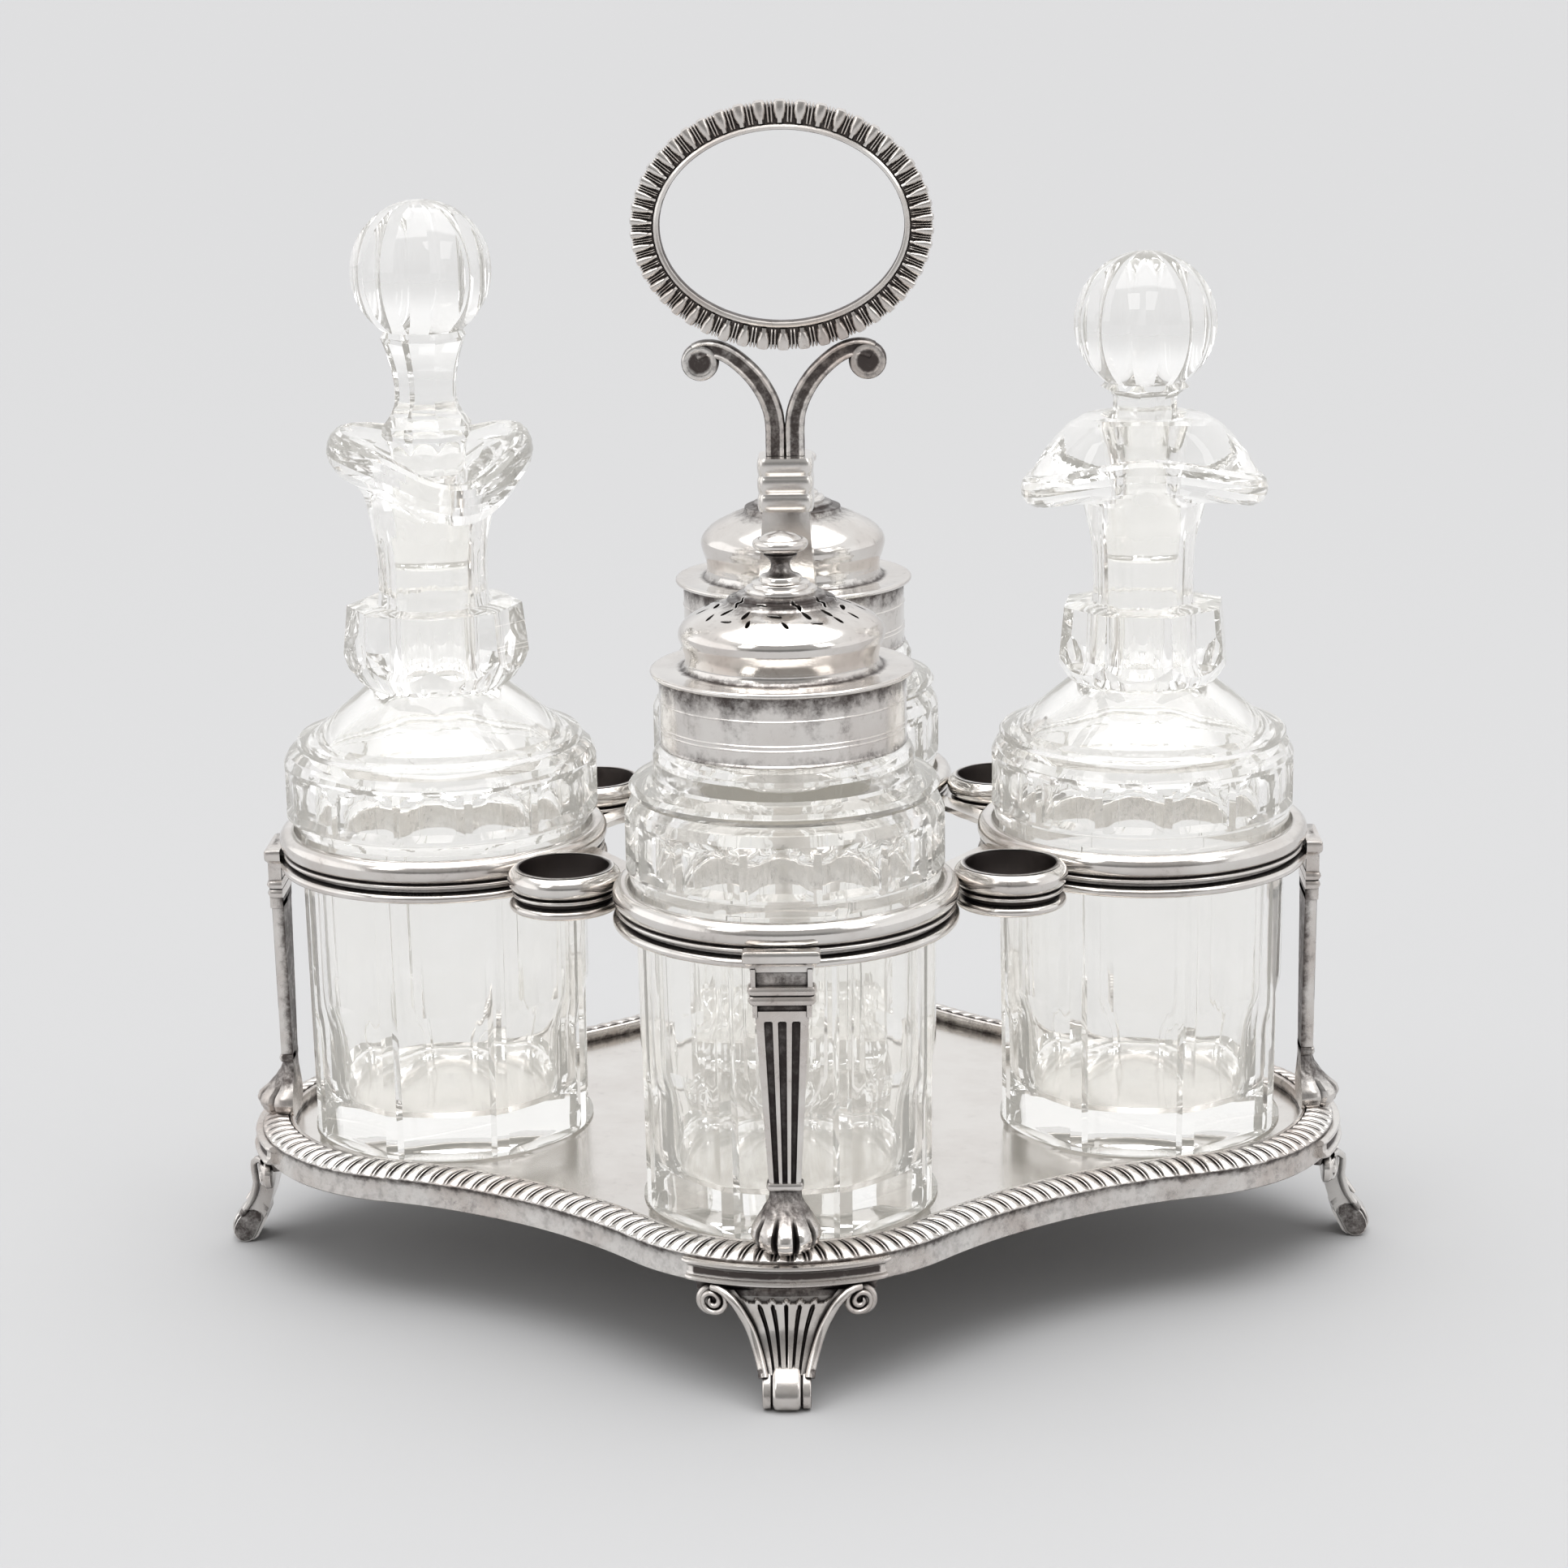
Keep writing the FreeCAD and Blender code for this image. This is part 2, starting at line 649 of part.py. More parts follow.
def make_handle():
    collar_top_height = stem_top + reed_height * 3
    for place, hand in (("left", -1), ("right", 1)):
        arm = body(f"handle_arm_{place}")
        face = new_sketch(arm, "XZ_Plane", "ArmFace")
        spring = collar_top_height + arm_rise
        inner = arm_radius - arm_thick * 0.5
        outer = arm_radius + arm_thick * 0.5
        hub = arm_thick * 0.5 + arm_radius
        outline(
            face,
            [
                (0.0, collar_top_height),
                (arm_thick * hand, collar_top_height),
                (arm_thick * hand, spring, inner * (-1.0 * hand)),
                (hub * hand, spring + inner),
                (hub * hand, spring + outer, outer * (1.0 * hand)),
                (0.0, spring),
            ],
        )
        raise_pad(arm, face, arm_depth, "Arm", both=True)
        scroll = new_sketch(arm, "XZ_Plane", "ScrollFace")
        circle(scroll, (hub + 0.7) * hand, spring + outer - scroll_radius, scroll_radius)
        raise_pad(arm, scroll, arm_depth, "Scroll", both=True)

    loop = body("handle_loop", z=loop_height)
    face = new_sketch(loop, "XZ_Plane", "LoopFace")
    for width, height in (
        (loop_half_width, loop_half_height),
        (loop_half_width - loop_band, loop_half_height - loop_band),
    ):
        oval = Part.Ellipse(Vector(0, 0, 0), width.value, height.value)
        number = face.addGeometry(oval, False)
        face.exposeInternalGeometry(number)
        face.addConstraint(Sketcher.Constraint("Coincident", number, 3, -1, 1))
        face.addConstraint(Sketcher.Constraint("Horizontal", number + 1))
        for axis, reach in ((number + 1, width * 2.0), (number + 2, height * 2.0)):
            bound = face.addConstraint(Sketcher.Constraint("Distance", axis, reach.value))
            bind(face, bound, [reach])
    raise_pad(loop, face, loop_depth, "Loop", both=True)


# Glass bottles and stoppers


def lower_glass(band):
    """Outer section shared by every vessel: foot, straight body, bevel and fluted shoulder band."""
    return [
        (0.0, floor_top),
        (glass_base - 1.0, floor_top),
        (glass_base, floor_top + 1.0),
        (glass_body, floor_top + 36.0),
        (glass_body, bevel_low),
        (band, band_low),
        (band, band_top, 2.6),
        (band - 1.9, band_top + 2.4),
    ]


def bottle_neck(mouth):
    """Shoulder cone, faceted neck ring and neck up to the mouth."""
    return [
        (30.0, band_top + 2.6),
        (29.4, band_top + 3.9),
        (26.2, band_top + 4.9),
        (14.6, band_top + 14.8),
        (16.6, band_top + 17.2),
        (19.6, band_top + 22.6),
        (18.4, band_top + 28.0),
        (15.4, band_top + 31.6),
        (11.8, band_top + 33.4),
        (11.2, band_top + 41.0, -46.0),
        (13.0, mouth - 9.0),
        (12.0, mouth - 2.0, 2.0),
        (10.4, mouth),
        (0.0, mouth),
    ]


def bottle_cavity(mouth, plug_top):
    """Inside of a bottle, with a tapered ground neck for the stopper's plug."""
    inner = glass_body - glass_wall
    bottom = floor_top + glass_floor
    fall = (plug_mouth - plug_end).value / (plug_top - plug_low).value
    at_mouth = plug_mouth + plug_gap - (plug_top - mouth) * fall
    return [
        (0.0, bottom),
        (inner - 3.0, bottom + 0.6, 3.0),
        (inner, bottom + 3.6),
        (inner, band_top - 4.0, 6.0),
        (inner - 4.6, band_top + 1.4),
        (neck_bore + 2.0, band_top + 12.6, -6.0),
        (plug_end + plug_gap, band_top + 18.0),
        (plug_end + plug_gap, plug_low),
        (at_mouth, mouth),
        (at_mouth + 0.4, mouth + 1.0),
        (0.0, mouth + 1.0),
    ]


def make_bottle(place, x, band, mouth, plug_top, lip):
    """A bottle: turned outside, a lip that spreads to both sides of the mouth, then the cavity."""
    glass = body(f"bottle_{place}_glass", x)
    spin(glass, lower_glass(band) + bottle_neck(mouth), "Outside")
    face = new_sketch(glass, "XZ_Plane", "LipFace")
    outline(face, lip)
    raise_pad(glass, face, lip_depth, "Lip", both=True)
    spin(glass, bottle_cavity(mouth, plug_top), "Cavity", cut=True)


def make_bottles():
    m = right_mouth
    half = [(9.0, m), (14.0, m - 1.4, -20.0), (22.6, m - 9.0), (25.4, m - 15.2), (24.0, m - 17.0)]
    half += [(19.6, m - 16.6), (13.6, m - 16.2), (9.0, m - 19.0)]
    mirrored = [(-corner[0], corner[1]) for corner in reversed(half)]
    make_bottle("right", side_station, right_band, m, right_plug_top, half + mirrored)

    m = left_mouth
    spout = [(9.0, m), (14.0, m + 3.4), (17.6, m + 6.4), (21.0, m + 4.4), (21.2, m - 2.0), (18.4, m - 6.4)]
    spout += [(12.6, m - 9.0), (9.0, m - 12.0)]
    curl = [(-9.0, m - 9.0), (-14.0, m - 5.0), (-19.0, m - 4.4), (-21.2, m + 0.4), (-20.0, m + 4.6)]
    curl += [(-16.6, m + 5.6), (-12.4, m + 2.6), (-9.0, m)]
    make_bottle("left", -side_station, left_band, m, left_plug_top, spout + curl)


def make_stopper(place, x, ball, flare, flare_radius, plug_top):
    """A ball on a waisted stem above a flare and a tapered ground plug."""
    stopper = body(f"stopper_{place}", x)
    low, top = -0.93, 0.995
    neck = ball_radius * math.sqrt(1 - low ** 2)
    tip = ball_radius * math.sqrt(1 - top ** 2)
    stem_radius = 5.9
    spin(
        stopper,
        [
            (0.0, plug_low),
            (plug_end - 0.6, plug_low),
            (plug_end, plug_low + 0.6),
            (plug_mouth, plug_top),
            (flare_radius, flare),
            (stem_radius, flare + 3.0),
            (neck, ball + ball_radius * low, ball_radius),
            (tip, ball + ball_radius * top),
            (0.0, ball + ball_radius),
        ],
        "Stopper",
    )


# Casters: glass, cemented collar, lid and finial


def make_caster(place, y, rise):
    inner = glass_body - glass_wall
    bottom = floor_top + glass_floor
    glass = body(f"caster_{place}_glass", 0.0, y)
    spin(
        glass,
        lower_glass(caster_band)
        + [
            (30.6, band_top + 2.8),
            (30.0, band_top + 5.2),
            (25.9, band_top + 5.8),
            (25.9, collar_low - 1.6),
            (24.2, collar_low - 0.2),
            (caster_neck, collar_low - 0.2),
            (caster_neck, caster_neck_top),
            (0.0, caster_neck_top),
        ],
        "Outside",
    )
    cavity = [
        (0.0, bottom),
        (inner - 3.0, bottom + 0.6, 3.0),
        (inner, bottom + 3.6),
        (inner, band_top - 2.0, 6.0),
        (inner - 3.4, band_top + 3.4),
        (caster_bore, band_top + 7.6),
        (caster_bore, caster_neck_top + 1.0),
        (0.0, caster_neck_top + 1.0),
    ]
    spin(glass, cavity, "Cavity", cut=True)

    collar_inner = collar_outer - collar_wall
    collar = body(f"caster_{place}_collar", 0.0, y)
    spin(
        collar,
        [
            (collar_inner, collar_low),
            (collar_outer, collar_low),
            (collar_outer, collar_low + 3.6),
            (collar_outer + 0.25, collar_low + 4.0),
            (collar_outer, collar_low + 4.4),
            (collar_outer, collar_top - 4.4),
            (collar_outer + 0.25, collar_top - 4.0),
            (collar_outer, collar_top - 3.6),
            (collar_outer, collar_top),
            (collar_inner, collar_top),
        ],
        "Collar",
    )
    cement = body(f"caster_{place}_cement", 0.0, y)
    spin(cement, [(caster_neck, collar_low), (collar_inner, collar_low), (collar_inner, cement_top),
                  (caster_neck, cement_top)], "Cement")

    lid = body(f"caster_{place}_lid", 0.0, y)
    flange_top = collar_top + flange_thick
    crown = flange_top + rise
    sleeve_outer = collar_inner - sleeve_gap
    bulge = collar_top + rise * 0.5
    spin(
        lid,
        [
            (sleeve_outer - shell_wall, sleeve_low),
            (sleeve_outer, sleeve_low),
            (sleeve_outer, collar_top),
            (flange_radius - 0.6, collar_top, 0.85),
            (flange_radius - 0.6, flange_top),
            (dome_waist + 1.6, flange_top + 0.3),
            (dome_waist, flange_top + 1.6),
            (dome_bulge, bulge, 7.0),
            (dome_bulge - 3.4, bulge + 3.4, 24.0),
            (finial_foot, crown),
            (0.0, crown),
            (0.0, crown - shell_wall),
            (finial_foot, crown - shell_wall, -23.0),
            (dome_bulge - 4.2, bulge + 3.0, -6.0),
            (dome_bulge - shell_wall, bulge),
            (dome_waist - shell_wall, flange_top + 1.2),
            (dome_waist - shell_wall, flange_top - shell_wall),
            (sleeve_outer - shell_wall, flange_top - shell_wall),
        ],
        "Shell",
    )
    if place == "front":
        pierce_lid(lid, crown)
    finial = body(f"caster_{place}_finial", 0.0, y, crown)
    spin(
        finial,
        [
            (0.0, 0.0),
            (finial_foot - 0.2, 0.0),
            (finial_foot - 0.6, 0.9),
            (5.4, 1.3),
            (5.2, 2.2),
            (3.6, 2.6),
            (1.9, 4.4, -3.0),
            (2.0, 6.6),
            (3.4, 7.4),
            (finial_button - 1.0, 7.8, 1.8),
            (finial_button - 1.0, finial_height - 1.2, 6.0),
            (1.2, finial_height),
            (0.0, finial_height),
        ],
        "Finial",
    )


def pierce_lid(lid, crown):
    """Two staggered circles of round holes through the top of the dome."""
    for number, (reach, radius, start) in enumerate(((10.2, 0.75, 0.0), (13.6, 0.75, 15.0))):
        holes = new_sketch(lid, "XY_Plane", f"HoleRing{number}", crown + 2.0)
        turn = math.radians(start)
        circle(holes, reach * math.cos(turn), reach * math.sin(turn), radius)
        drilling = lid.newObject("PartDesign::Pocket", f"Hole{number}")
        drilling.Profile = holes
        drilling.Length = 8.5
        pattern = lid.newObject("PartDesign::PolarPattern", f"Holes{number}")
        pattern.Originals = [drilling]
        pattern.Axis = (holes, ["N_Axis"])
        pattern.Angle = 360
        pattern.Occurrences = 12
        lid.Tip = pattern


make_tray_plate()
make_tray_border()
make_rings()
make_straps()
make_pilasters()
make_feet()
make_stem()
make_handle()
make_bottles()
make_stopper("left", -side_station, left_ball, left_flare, 9.4, left_plug_top)
make_stopper("right", side_station, right_ball, right_flare, 6.4, right_plug_top)
make_caster("front", -end_station, pierced_rise)
make_caster("back", end_station, blind_rise)
doc.recompute()

# Every object is checked before any file is written
problems = [f"{o.Name}: {o.State}" for o in doc.Objects if "Invalid" in o.State or "Error" in o.State]
parts = [o for o in doc.Objects if o.TypeId == "PartDesign::Body"]
for part in parts:
    shape = part.Shape
    if shape.isNull() or not shape.isValid() or len(shape.Solids) != 1:
        problems.append(f"{part.Label}: null, invalid or not one solid")
if problems:
    raise SystemExit("\n".join(problems))

os.makedirs("parts", exist_ok=True)
for part in parts:
    part.Shape.exportStep(os.path.join("parts", part.Label + ".step"))
    box = part.Shape.optimalBoundingBox()
    print(f"{part.Label:26s} volume {part.Shape.Volume:10.1f}  x {box.XMin:7.1f} {box.XMax:7.1f}"
          f"  y {box.YMin:7.1f} {box.YMax:7.1f}  z {box.ZMin:6.1f} {box.ZMax:6.1f}")
print(len(parts), "sub-parts written")
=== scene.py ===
"""Cruet set: the visible pieces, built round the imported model. Lengths in the builders are millimetres."""

import math
import random

import bmesh
import bpy
from mathutils import Matrix, Vector, noise


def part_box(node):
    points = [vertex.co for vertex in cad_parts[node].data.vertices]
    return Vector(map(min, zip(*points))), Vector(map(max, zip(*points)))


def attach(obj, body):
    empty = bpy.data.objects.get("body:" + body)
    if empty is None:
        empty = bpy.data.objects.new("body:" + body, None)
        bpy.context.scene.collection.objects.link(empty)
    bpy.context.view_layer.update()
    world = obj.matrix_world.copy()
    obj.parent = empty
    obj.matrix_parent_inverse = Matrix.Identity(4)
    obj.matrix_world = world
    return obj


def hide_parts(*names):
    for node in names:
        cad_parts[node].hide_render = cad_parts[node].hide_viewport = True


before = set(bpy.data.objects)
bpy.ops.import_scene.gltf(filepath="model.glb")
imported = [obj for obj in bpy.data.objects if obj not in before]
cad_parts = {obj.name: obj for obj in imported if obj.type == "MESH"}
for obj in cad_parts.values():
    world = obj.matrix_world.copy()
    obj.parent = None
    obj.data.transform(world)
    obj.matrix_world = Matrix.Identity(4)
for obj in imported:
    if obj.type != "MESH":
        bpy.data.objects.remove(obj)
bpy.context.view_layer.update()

MM = 0.001
TAU = 2.0 * math.pi
random.seed(7)


# Places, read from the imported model


def low(node):
    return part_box(node)[0] / MM


def high(node):
    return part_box(node)[1] / MM


def middle(node):
    return (low(node) + high(node)) / 2.0


def half_size(node):
    return (high(node) - low(node)) / 2.0


SIDE = middle("bottle_ring_right").x
END = middle("bottle_ring_back").y
FLOOR = high("tray_plate").z
TRAY_RADIUS = high("tray_border").x - SIDE
APRON_LOW = low("tray_border").z
APRON_TOP = APRON_LOW + 5.4
BORDER_TOP = high("tray_border").z
RING_LOW = low("bottle_ring_front").z
RING_TOP = high("bottle_ring_front").z
# Centre of each vessel, and the direction that points away from the stem there, in degrees
STATIONS = {
    "front": (0.0, -END, -90.0),
    "back": (0.0, END, 90.0),
    "left": (-SIDE, 0.0, 180.0),
    "right": (SIDE, 0.0, 0.0),
}
CORNERS = ("front_left", "front_right", "back_left", "back_right")


# Mesh helpers


class Shell:
    """Vertices and faces of one piece, in millimetres."""

    def __init__(self, rings=None, loop=False):
        self.verts = []
        self.faces = []
        if rings:
            self.skin(rings, loop)

    def skin(self, rings, loop=False):
        """Joins rings of equal length. With loop, the last joins the first; else a fan closes each end."""
        count = len(rings[0])
        rows = len(rings)
        base = len(self.verts)
        for ring in rings:
            self.verts.extend(Vector(p) for p in ring)
        for row in range(rows if loop else rows - 1):
            here = base + row * count
            there = base + (row + 1) % rows * count
            for i in range(count):
                j = (i + 1) % count
                self.faces.append((here + i, here + j, there + j, there + i))
        if not loop:
            self._fan(rings[0], base, True)
            self._fan(rings[-1], base + (rows - 1) * count, False)

    def _fan(self, ring, base, flip):
        hub = len(self.verts)
        self.verts.append(sum((Vector(p) for p in ring), Vector()) / len(ring))
        for i in range(len(ring)):
            j = (i + 1) % len(ring)
            self.faces.append((hub, base + j, base + i) if flip else (hub, base + i, base + j))

    def place(self, x=0.0, y=0.0, z=0.0, turn=0.0):
        """Turns the whole shell about +Z, in degrees, then moves it."""
        matrix = Matrix.Translation((x, y, z)) @ Matrix.Rotation(math.radians(turn), 4, "Z")
        self.verts = [matrix @ v for v in self.verts]
        return self


def mesh_of(name, shell):
    """Mesh of a shell: coincident points welded, empty faces dropped, every normal turned outwards."""
    mesh = bpy.data.meshes.new(name)
    mesh.from_pydata([v * MM for v in shell.verts], [], shell.faces)
    work = bmesh.new()
    work.from_mesh(mesh)
    bmesh.ops.remove_doubles(work, verts=work.verts, dist=1e-6)
    bmesh.ops.dissolve_degenerate(work, dist=1e-7, edges=work.edges)
    bmesh.ops.recalc_face_normals(work, faces=work.faces)
    work.to_mesh(mesh)
    work.free()
    return mesh


def linked(name, data):
    """A new object in the scene."""
    made = bpy.data.objects.new(name, data)
    bpy.context.scene.collection.objects.link(made)
    return made


def piece(name, shell, body, nodes, material, sharp, oxide_and_painted_shade=None):
    """Makes the Blender object of a shell, parents it to its body's empty and hides the model's nodes that it
    stands in for.

    Edges that turn by more than sharp degrees stay sharp. The last argument gives, for a point in mm, 0 to 1
    of darkening: oxide, with painted shade on the rings' inner walls and painted reflection in the caster
    collars' streaks."""
    mesh = mesh_of(name, shell)
    mesh.polygons.foreach_set("use_smooth", [True] * len(mesh.polygons))
    mesh.set_sharp_from_angle(angle=math.radians(sharp))
    if oxide_and_painted_shade:
        # Stores the darkening: oxide, and on some pieces painted shade and painted reflection.
        layer = mesh.attributes.new("oxide_and_painted_shade", "FLOAT", "POINT")
        layer.data.foreach_set("value", [oxide_and_painted_shade(v.co / MM) for v in mesh.vertices])
    mesh.materials.append(material)
    made = linked(name, mesh)
    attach(made, body)
    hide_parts(*nodes)
    return made


def lerp(a, b, t):
    return a + (b - a) * t


def smooth(edge0, edge1, value):
    t = min(max((value - edge0) / (edge1 - edge0), 0.0), 1.0)
    return t * t * (3.0 - 2.0 * t)


def along(knots, value):
    """Straight interpolation in a list of (value, result) knots, where a result may be a tuple."""
    if value <= knots[0][0]:
        return knots[0][1]
    for (a, ra), (b, rb) in zip(knots, knots[1:]):
        if value <= b:
            t = (value - a) / (b - a)
            if isinstance(ra, tuple):
                return tuple(lerp(p, q, t) for p, q in zip(ra, rb))
            return lerp(ra, rb, t)
    return knots[-1][1]


def curve_through(points, parts):
    """Smooth polyline through the points (Catmull-Rom)."""
    made = []
    count = len(points)
    for i in range(count - 1):
        p0, p1 = points[max(i - 1, 0)], points[i]
        p2, p3 = points[i + 1], points[min(i + 2, count - 1)]
        for k in range(parts):
            t = k / parts
            made.append(tuple(
                0.5 * (2 * b + (c - a) * t + (2 * a - 5 * b + 4 * c - d) * t * t
                       + (3 * b - a - 3 * c + d) * t ** 3)
                for a, b, c, d in zip(p0, p1, p2, p3)))
    made.append(points[-1])
    return made


def arc(centre, radius, start, end, steps, rise=None):
    """Points of an arc in the section plane, angles in degrees. rise is its half height, if not radius."""
    points = []
    for i in range(steps + 1):
        angle = math.radians(start + (end - start) * i / steps)
        points.append((centre[0] + radius * math.cos(angle), centre[1] + (rise or radius) * math.sin(angle)))
    return points


def polar(radius, angle, height):
    return (radius * math.cos(angle), radius * math.sin(angle), height)


def around(count):
    """Equal steps of angle through a full turn."""
    return [TAU * i / count for i in range(count)]


def spun(profile, angles, shape=None):
    """Rings of a half section of (radius, height) rows. shape(angle, radius, height, row) moves a point."""
    rings = []
    for row, (radius, height) in enumerate(profile):
        ring = []
        for angle in angles:
            r, z = shape(angle, radius, height, row) if shape else (radius, height)
            ring.append(polar(r, angle, z))
        rings.append(ring)
    return rings


def swept(path, level, section):
    """Rings of a section carried along a path.

    level(ahead) gives the (side, up) frame for a direction, and section(i) the points in it at point i."""
    rings = []
    last = len(path) - 1
    for i, point in enumerate(path):
        side, up = level((path[min(i + 1, last)] - path[max(i - 1, 0)]).normalized())
        rings.append([point + side * a + up * b for a, b in section(i)])
    return rings


def dented(amount, seed):
    """A gentle unevenness for hand-raised metal."""
    def shape(angle, radius, height, row):
        wave = noise.noise(Vector((math.cos(angle) * 2.0 + seed, math.sin(angle) * 2.0, height * 0.05)))
        return radius + amount * wave, height + amount * 0.6 * wave
    return shape


def from_station(p, x, y, turn):
    """A point as its station sees it: x outwards, y along the tray's edge."""
    return Matrix.Rotation(math.radians(-turn), 3, "Z") @ Vector((p.x - x, p.y - y, p.z))


# Materials


def wire(tree, node, inputs):
    """Links or sets the inputs of a node."""
    for key, value in inputs.items():
        if isinstance(value, bpy.types.NodeSocket):
            tree.links.new(value, node.inputs[key])
        else:
            node.inputs[key].default_value = value


def add(tree, kind, inputs, **settings):
    """Adds a node, sets its properties, and links or sets its inputs."""
    made = tree.nodes.new(kind)
    for key, value in settings.items():
        setattr(made, key, value)
    wire(tree, made, inputs)
    return made


def node_tree(name):
    """A new material, its node tree and its main shader."""
    material = bpy.data.materials.new(name)
    material.use_nodes = True
    tree = material.node_tree
    tree.nodes.clear()
    shader = add(tree, "ShaderNodeBsdfPrincipled", {})
    add(tree, "ShaderNodeOutputMaterial", {"Surface": shader.outputs[0]})
    return material, tree, shader


def places(tree):
    """Where a point lies on its object, in metres."""
    return add(tree, "ShaderNodeTexCoord", {}).outputs["Object"]


def calc(tree, operation, *values):
    return add(tree, "ShaderNodeMath", dict(enumerate(values)), operation=operation).outputs[0]


def clouds(tree, where, scale, detail, roughness=0.5):
    """Noise of the given scale, in waves per metre."""
    inputs = {"Vector": where, "Scale": scale, "Detail": detail, "Roughness": roughness}
    return add(tree, "ShaderNodeTexNoise", inputs).outputs["Fac"]


def bumps(tree, height, strength, distance):
    inputs = {"Height": height, "Strength": strength, "Distance": distance}
    return add(tree, "ShaderNodeBump", inputs).outputs[0]


def ramp(tree, source, stops):
    """A ramp of greys through (position, grey) stops."""
    made = add(tree, "ShaderNodeValToRGB", {"Fac": source})
    for element, (position, grey) in zip(made.color_ramp.elements, stops):
        element.position = position
        element.color = (grey, grey, grey, 1.0)
    return made.outputs["Color"]


def mixed(tree, factor, a, b):
    """Colour a where the factor is 0, b where it is 1. Each is a socket or three numbers."""
    a, b = (c if isinstance(c, bpy.types.NodeSocket) else (*c, 1.0) for c in (a, b))
    return add(tree, "ShaderNodeMix", {0: factor, 6: a, 7: b}, data_type="RGBA").outputs[2]


def span(tree, source, start, end):
    """0 to 1 with soft ends, as the source goes from start to end."""
    inputs = {"Value": source, "From Min": start, "From Max": end}
    return add(tree, "ShaderNodeMapRange", inputs, interpolation_type="SMOOTHSTEP").outputs["Result"]


CLEAN_METAL = (0.76, 0.735, 0.705)
BROWN_STAIN = (0.42, 0.345, 0.305)
PITS = (0.17, 0.14, 0.13)
BLACK_OXIDE = (0.10, 0.095, 0.10)
# The marked colour serves oxide, and also painted shade and painted reflection where pieces mark them.
MARKED_OXIDE_AND_PAINTED_SHADE = (0.085, 0.072, 0.068)
HOLLOW_OXIDE = (0.050, 0.043, 0.042)


def silver(name, reach=3.0, start=0.85, end=0.45, rough=0.12, stain=0.35, oxide_and_painted_shade=0.0):
    """Silver: near black in recesses, with patches of thin brown stain and fine wear.

    A recess is sought within reach millimetres, and darkens between the start and end of openness. The last
    argument adds mottled black oxide over the whole surface, besides what the piece's own values mark: oxide,
    with painted shade on the rings' inner walls and painted reflection in the caster collars' streaks."""
    material, tree, shader = node_tree(name)
    where = places(tree)
    patches = clouds(tree, where, 45.0, 6.0, 0.62)
    mottle = clouds(tree, where, 420.0, 6.0, 0.75)
    speckle = clouds(tree, where, 1500.0, 3.0, 0.7)
    hollow = add(tree, "ShaderNodeAmbientOcclusion", {"Distance": reach * MM}, samples=6, only_local=True)
    openness = calc(tree, "ADD", hollow.outputs["AO"], calc(tree, "MULTIPLY_ADD", mottle, 0.30, -0.15))
    depth = span(tree, openness, start, end)
    stained = ramp(tree, patches, [(0.40, 0.0), (0.72, stain)])
    pits = ramp(tree, mottle, [(0.56, 0.0), (0.66, 0.85)])
    colour = mixed(tree, stained, CLEAN_METAL, BROWN_STAIN)
    colour = mixed(tree, calc(tree, "MULTIPLY", pits, stained), colour, PITS)
    if oxide_and_painted_shade:
        colour = mixed(tree, ramp(tree, mottle, [(0.46, 0.0), (0.60, oxide_and_painted_shade)]), colour, BLACK_OXIDE)
    # Darkening marked by each piece: oxide, with painted shade on the rings' inner walls and painted
    # reflection in the caster collars' streaks.
    mark = add(tree, "ShaderNodeAttribute", {}, attribute_name="oxide_and_painted_shade").outputs["Fac"]
    mark = calc(tree, "ADD", mark, calc(tree, "MULTIPLY_ADD", mottle, 1.2, -0.6))
    marked = span(tree, mark, 0.25, 0.95)
    colour = mixed(tree, marked, colour, MARKED_OXIDE_AND_PAINTED_SHADE)
    colour = mixed(tree, depth, colour, HOLLOW_OXIDE)
    wear = rough
    for share, dulling in ((depth, 0.30), (marked, 0.25), (stained, 0.30)):
        wear = calc(tree, "MULTIPLY_ADD", share, dulling, wear)
    uneven = bumps(tree, speckle, 0.06, 0.0002)
    wire(tree, shader, {"Base Color": colour, "Metallic": 1.0, "Roughness": wear, "Normal": uneven})
    return material


def crystal(name, haze=0.03, painted_glow_share=0.05):
    """Lead crystal with a patchy haze of lime, and a painted glow: a faint emission mixed into the glass,
    which gives off light though it is no lamp.
    """
    material, tree, shader = node_tree(name)
    surface = shader.outputs[0].links[0].to_socket
    where = places(tree)
    ripple = clouds(tree, where, 140.0, 2.0)
    cloud = clouds(tree, where, 70.0, 5.0, 0.6)
    wire(tree, shader, {"Base Color": (1.0, 1.0, 1.0, 1.0), "Transmission Weight": 1.0, "Roughness": 0.0,
                        "IOR": 1.53, "Normal": bumps(tree, ripple, 0.04, 0.0004)})
    lime = add(tree, "ShaderNodeBsdfDiffuse", {"Color": (0.98, 0.955, 0.89, 1.0)})
    # Painted glow: an emission that lifts the glass's dark lines, as if the glass were lit from within.
    painted_glow = add(tree, "ShaderNodeEmission", {"Color": (1.0, 0.975, 0.905, 1.0), "Strength": 0.96})
    clear = add(tree, "ShaderNodeBsdfTransparent", {"Color": (0.93, 0.93, 0.92, 1.0)})
    hazy = ramp(tree, cloud, [(0.35, haze * 0.6), (0.70, haze * 2.0)])
    shadow = add(tree, "ShaderNodeLightPath", {}).outputs["Is Shadow Ray"]
    glass = shader
    for share, other in ((hazy, lime), (painted_glow_share, painted_glow), (shadow, clear)):
        glass = add(tree, "ShaderNodeMixShader", {0: share, 1: glass.outputs[0], 2: other.outputs[0]})
    tree.links.new(glass.outputs[0], surface)
    return material


def dull(name, colour, rough, metallic=0.0):
    """A matt material with a fine grain."""
    material, tree, shader = node_tree(name)
    specks = clouds(tree, places(tree), 400.0, 5.0)
    tone = mixed(tree, specks, tuple(c * 0.72 for c in colour), colour)
    wire(tree, shader, {"Base Color": tone, "Roughness": rough, "Metallic": metallic,
                        "Normal": bumps(tree, specks, 0.3, 0.0002)})
    return material


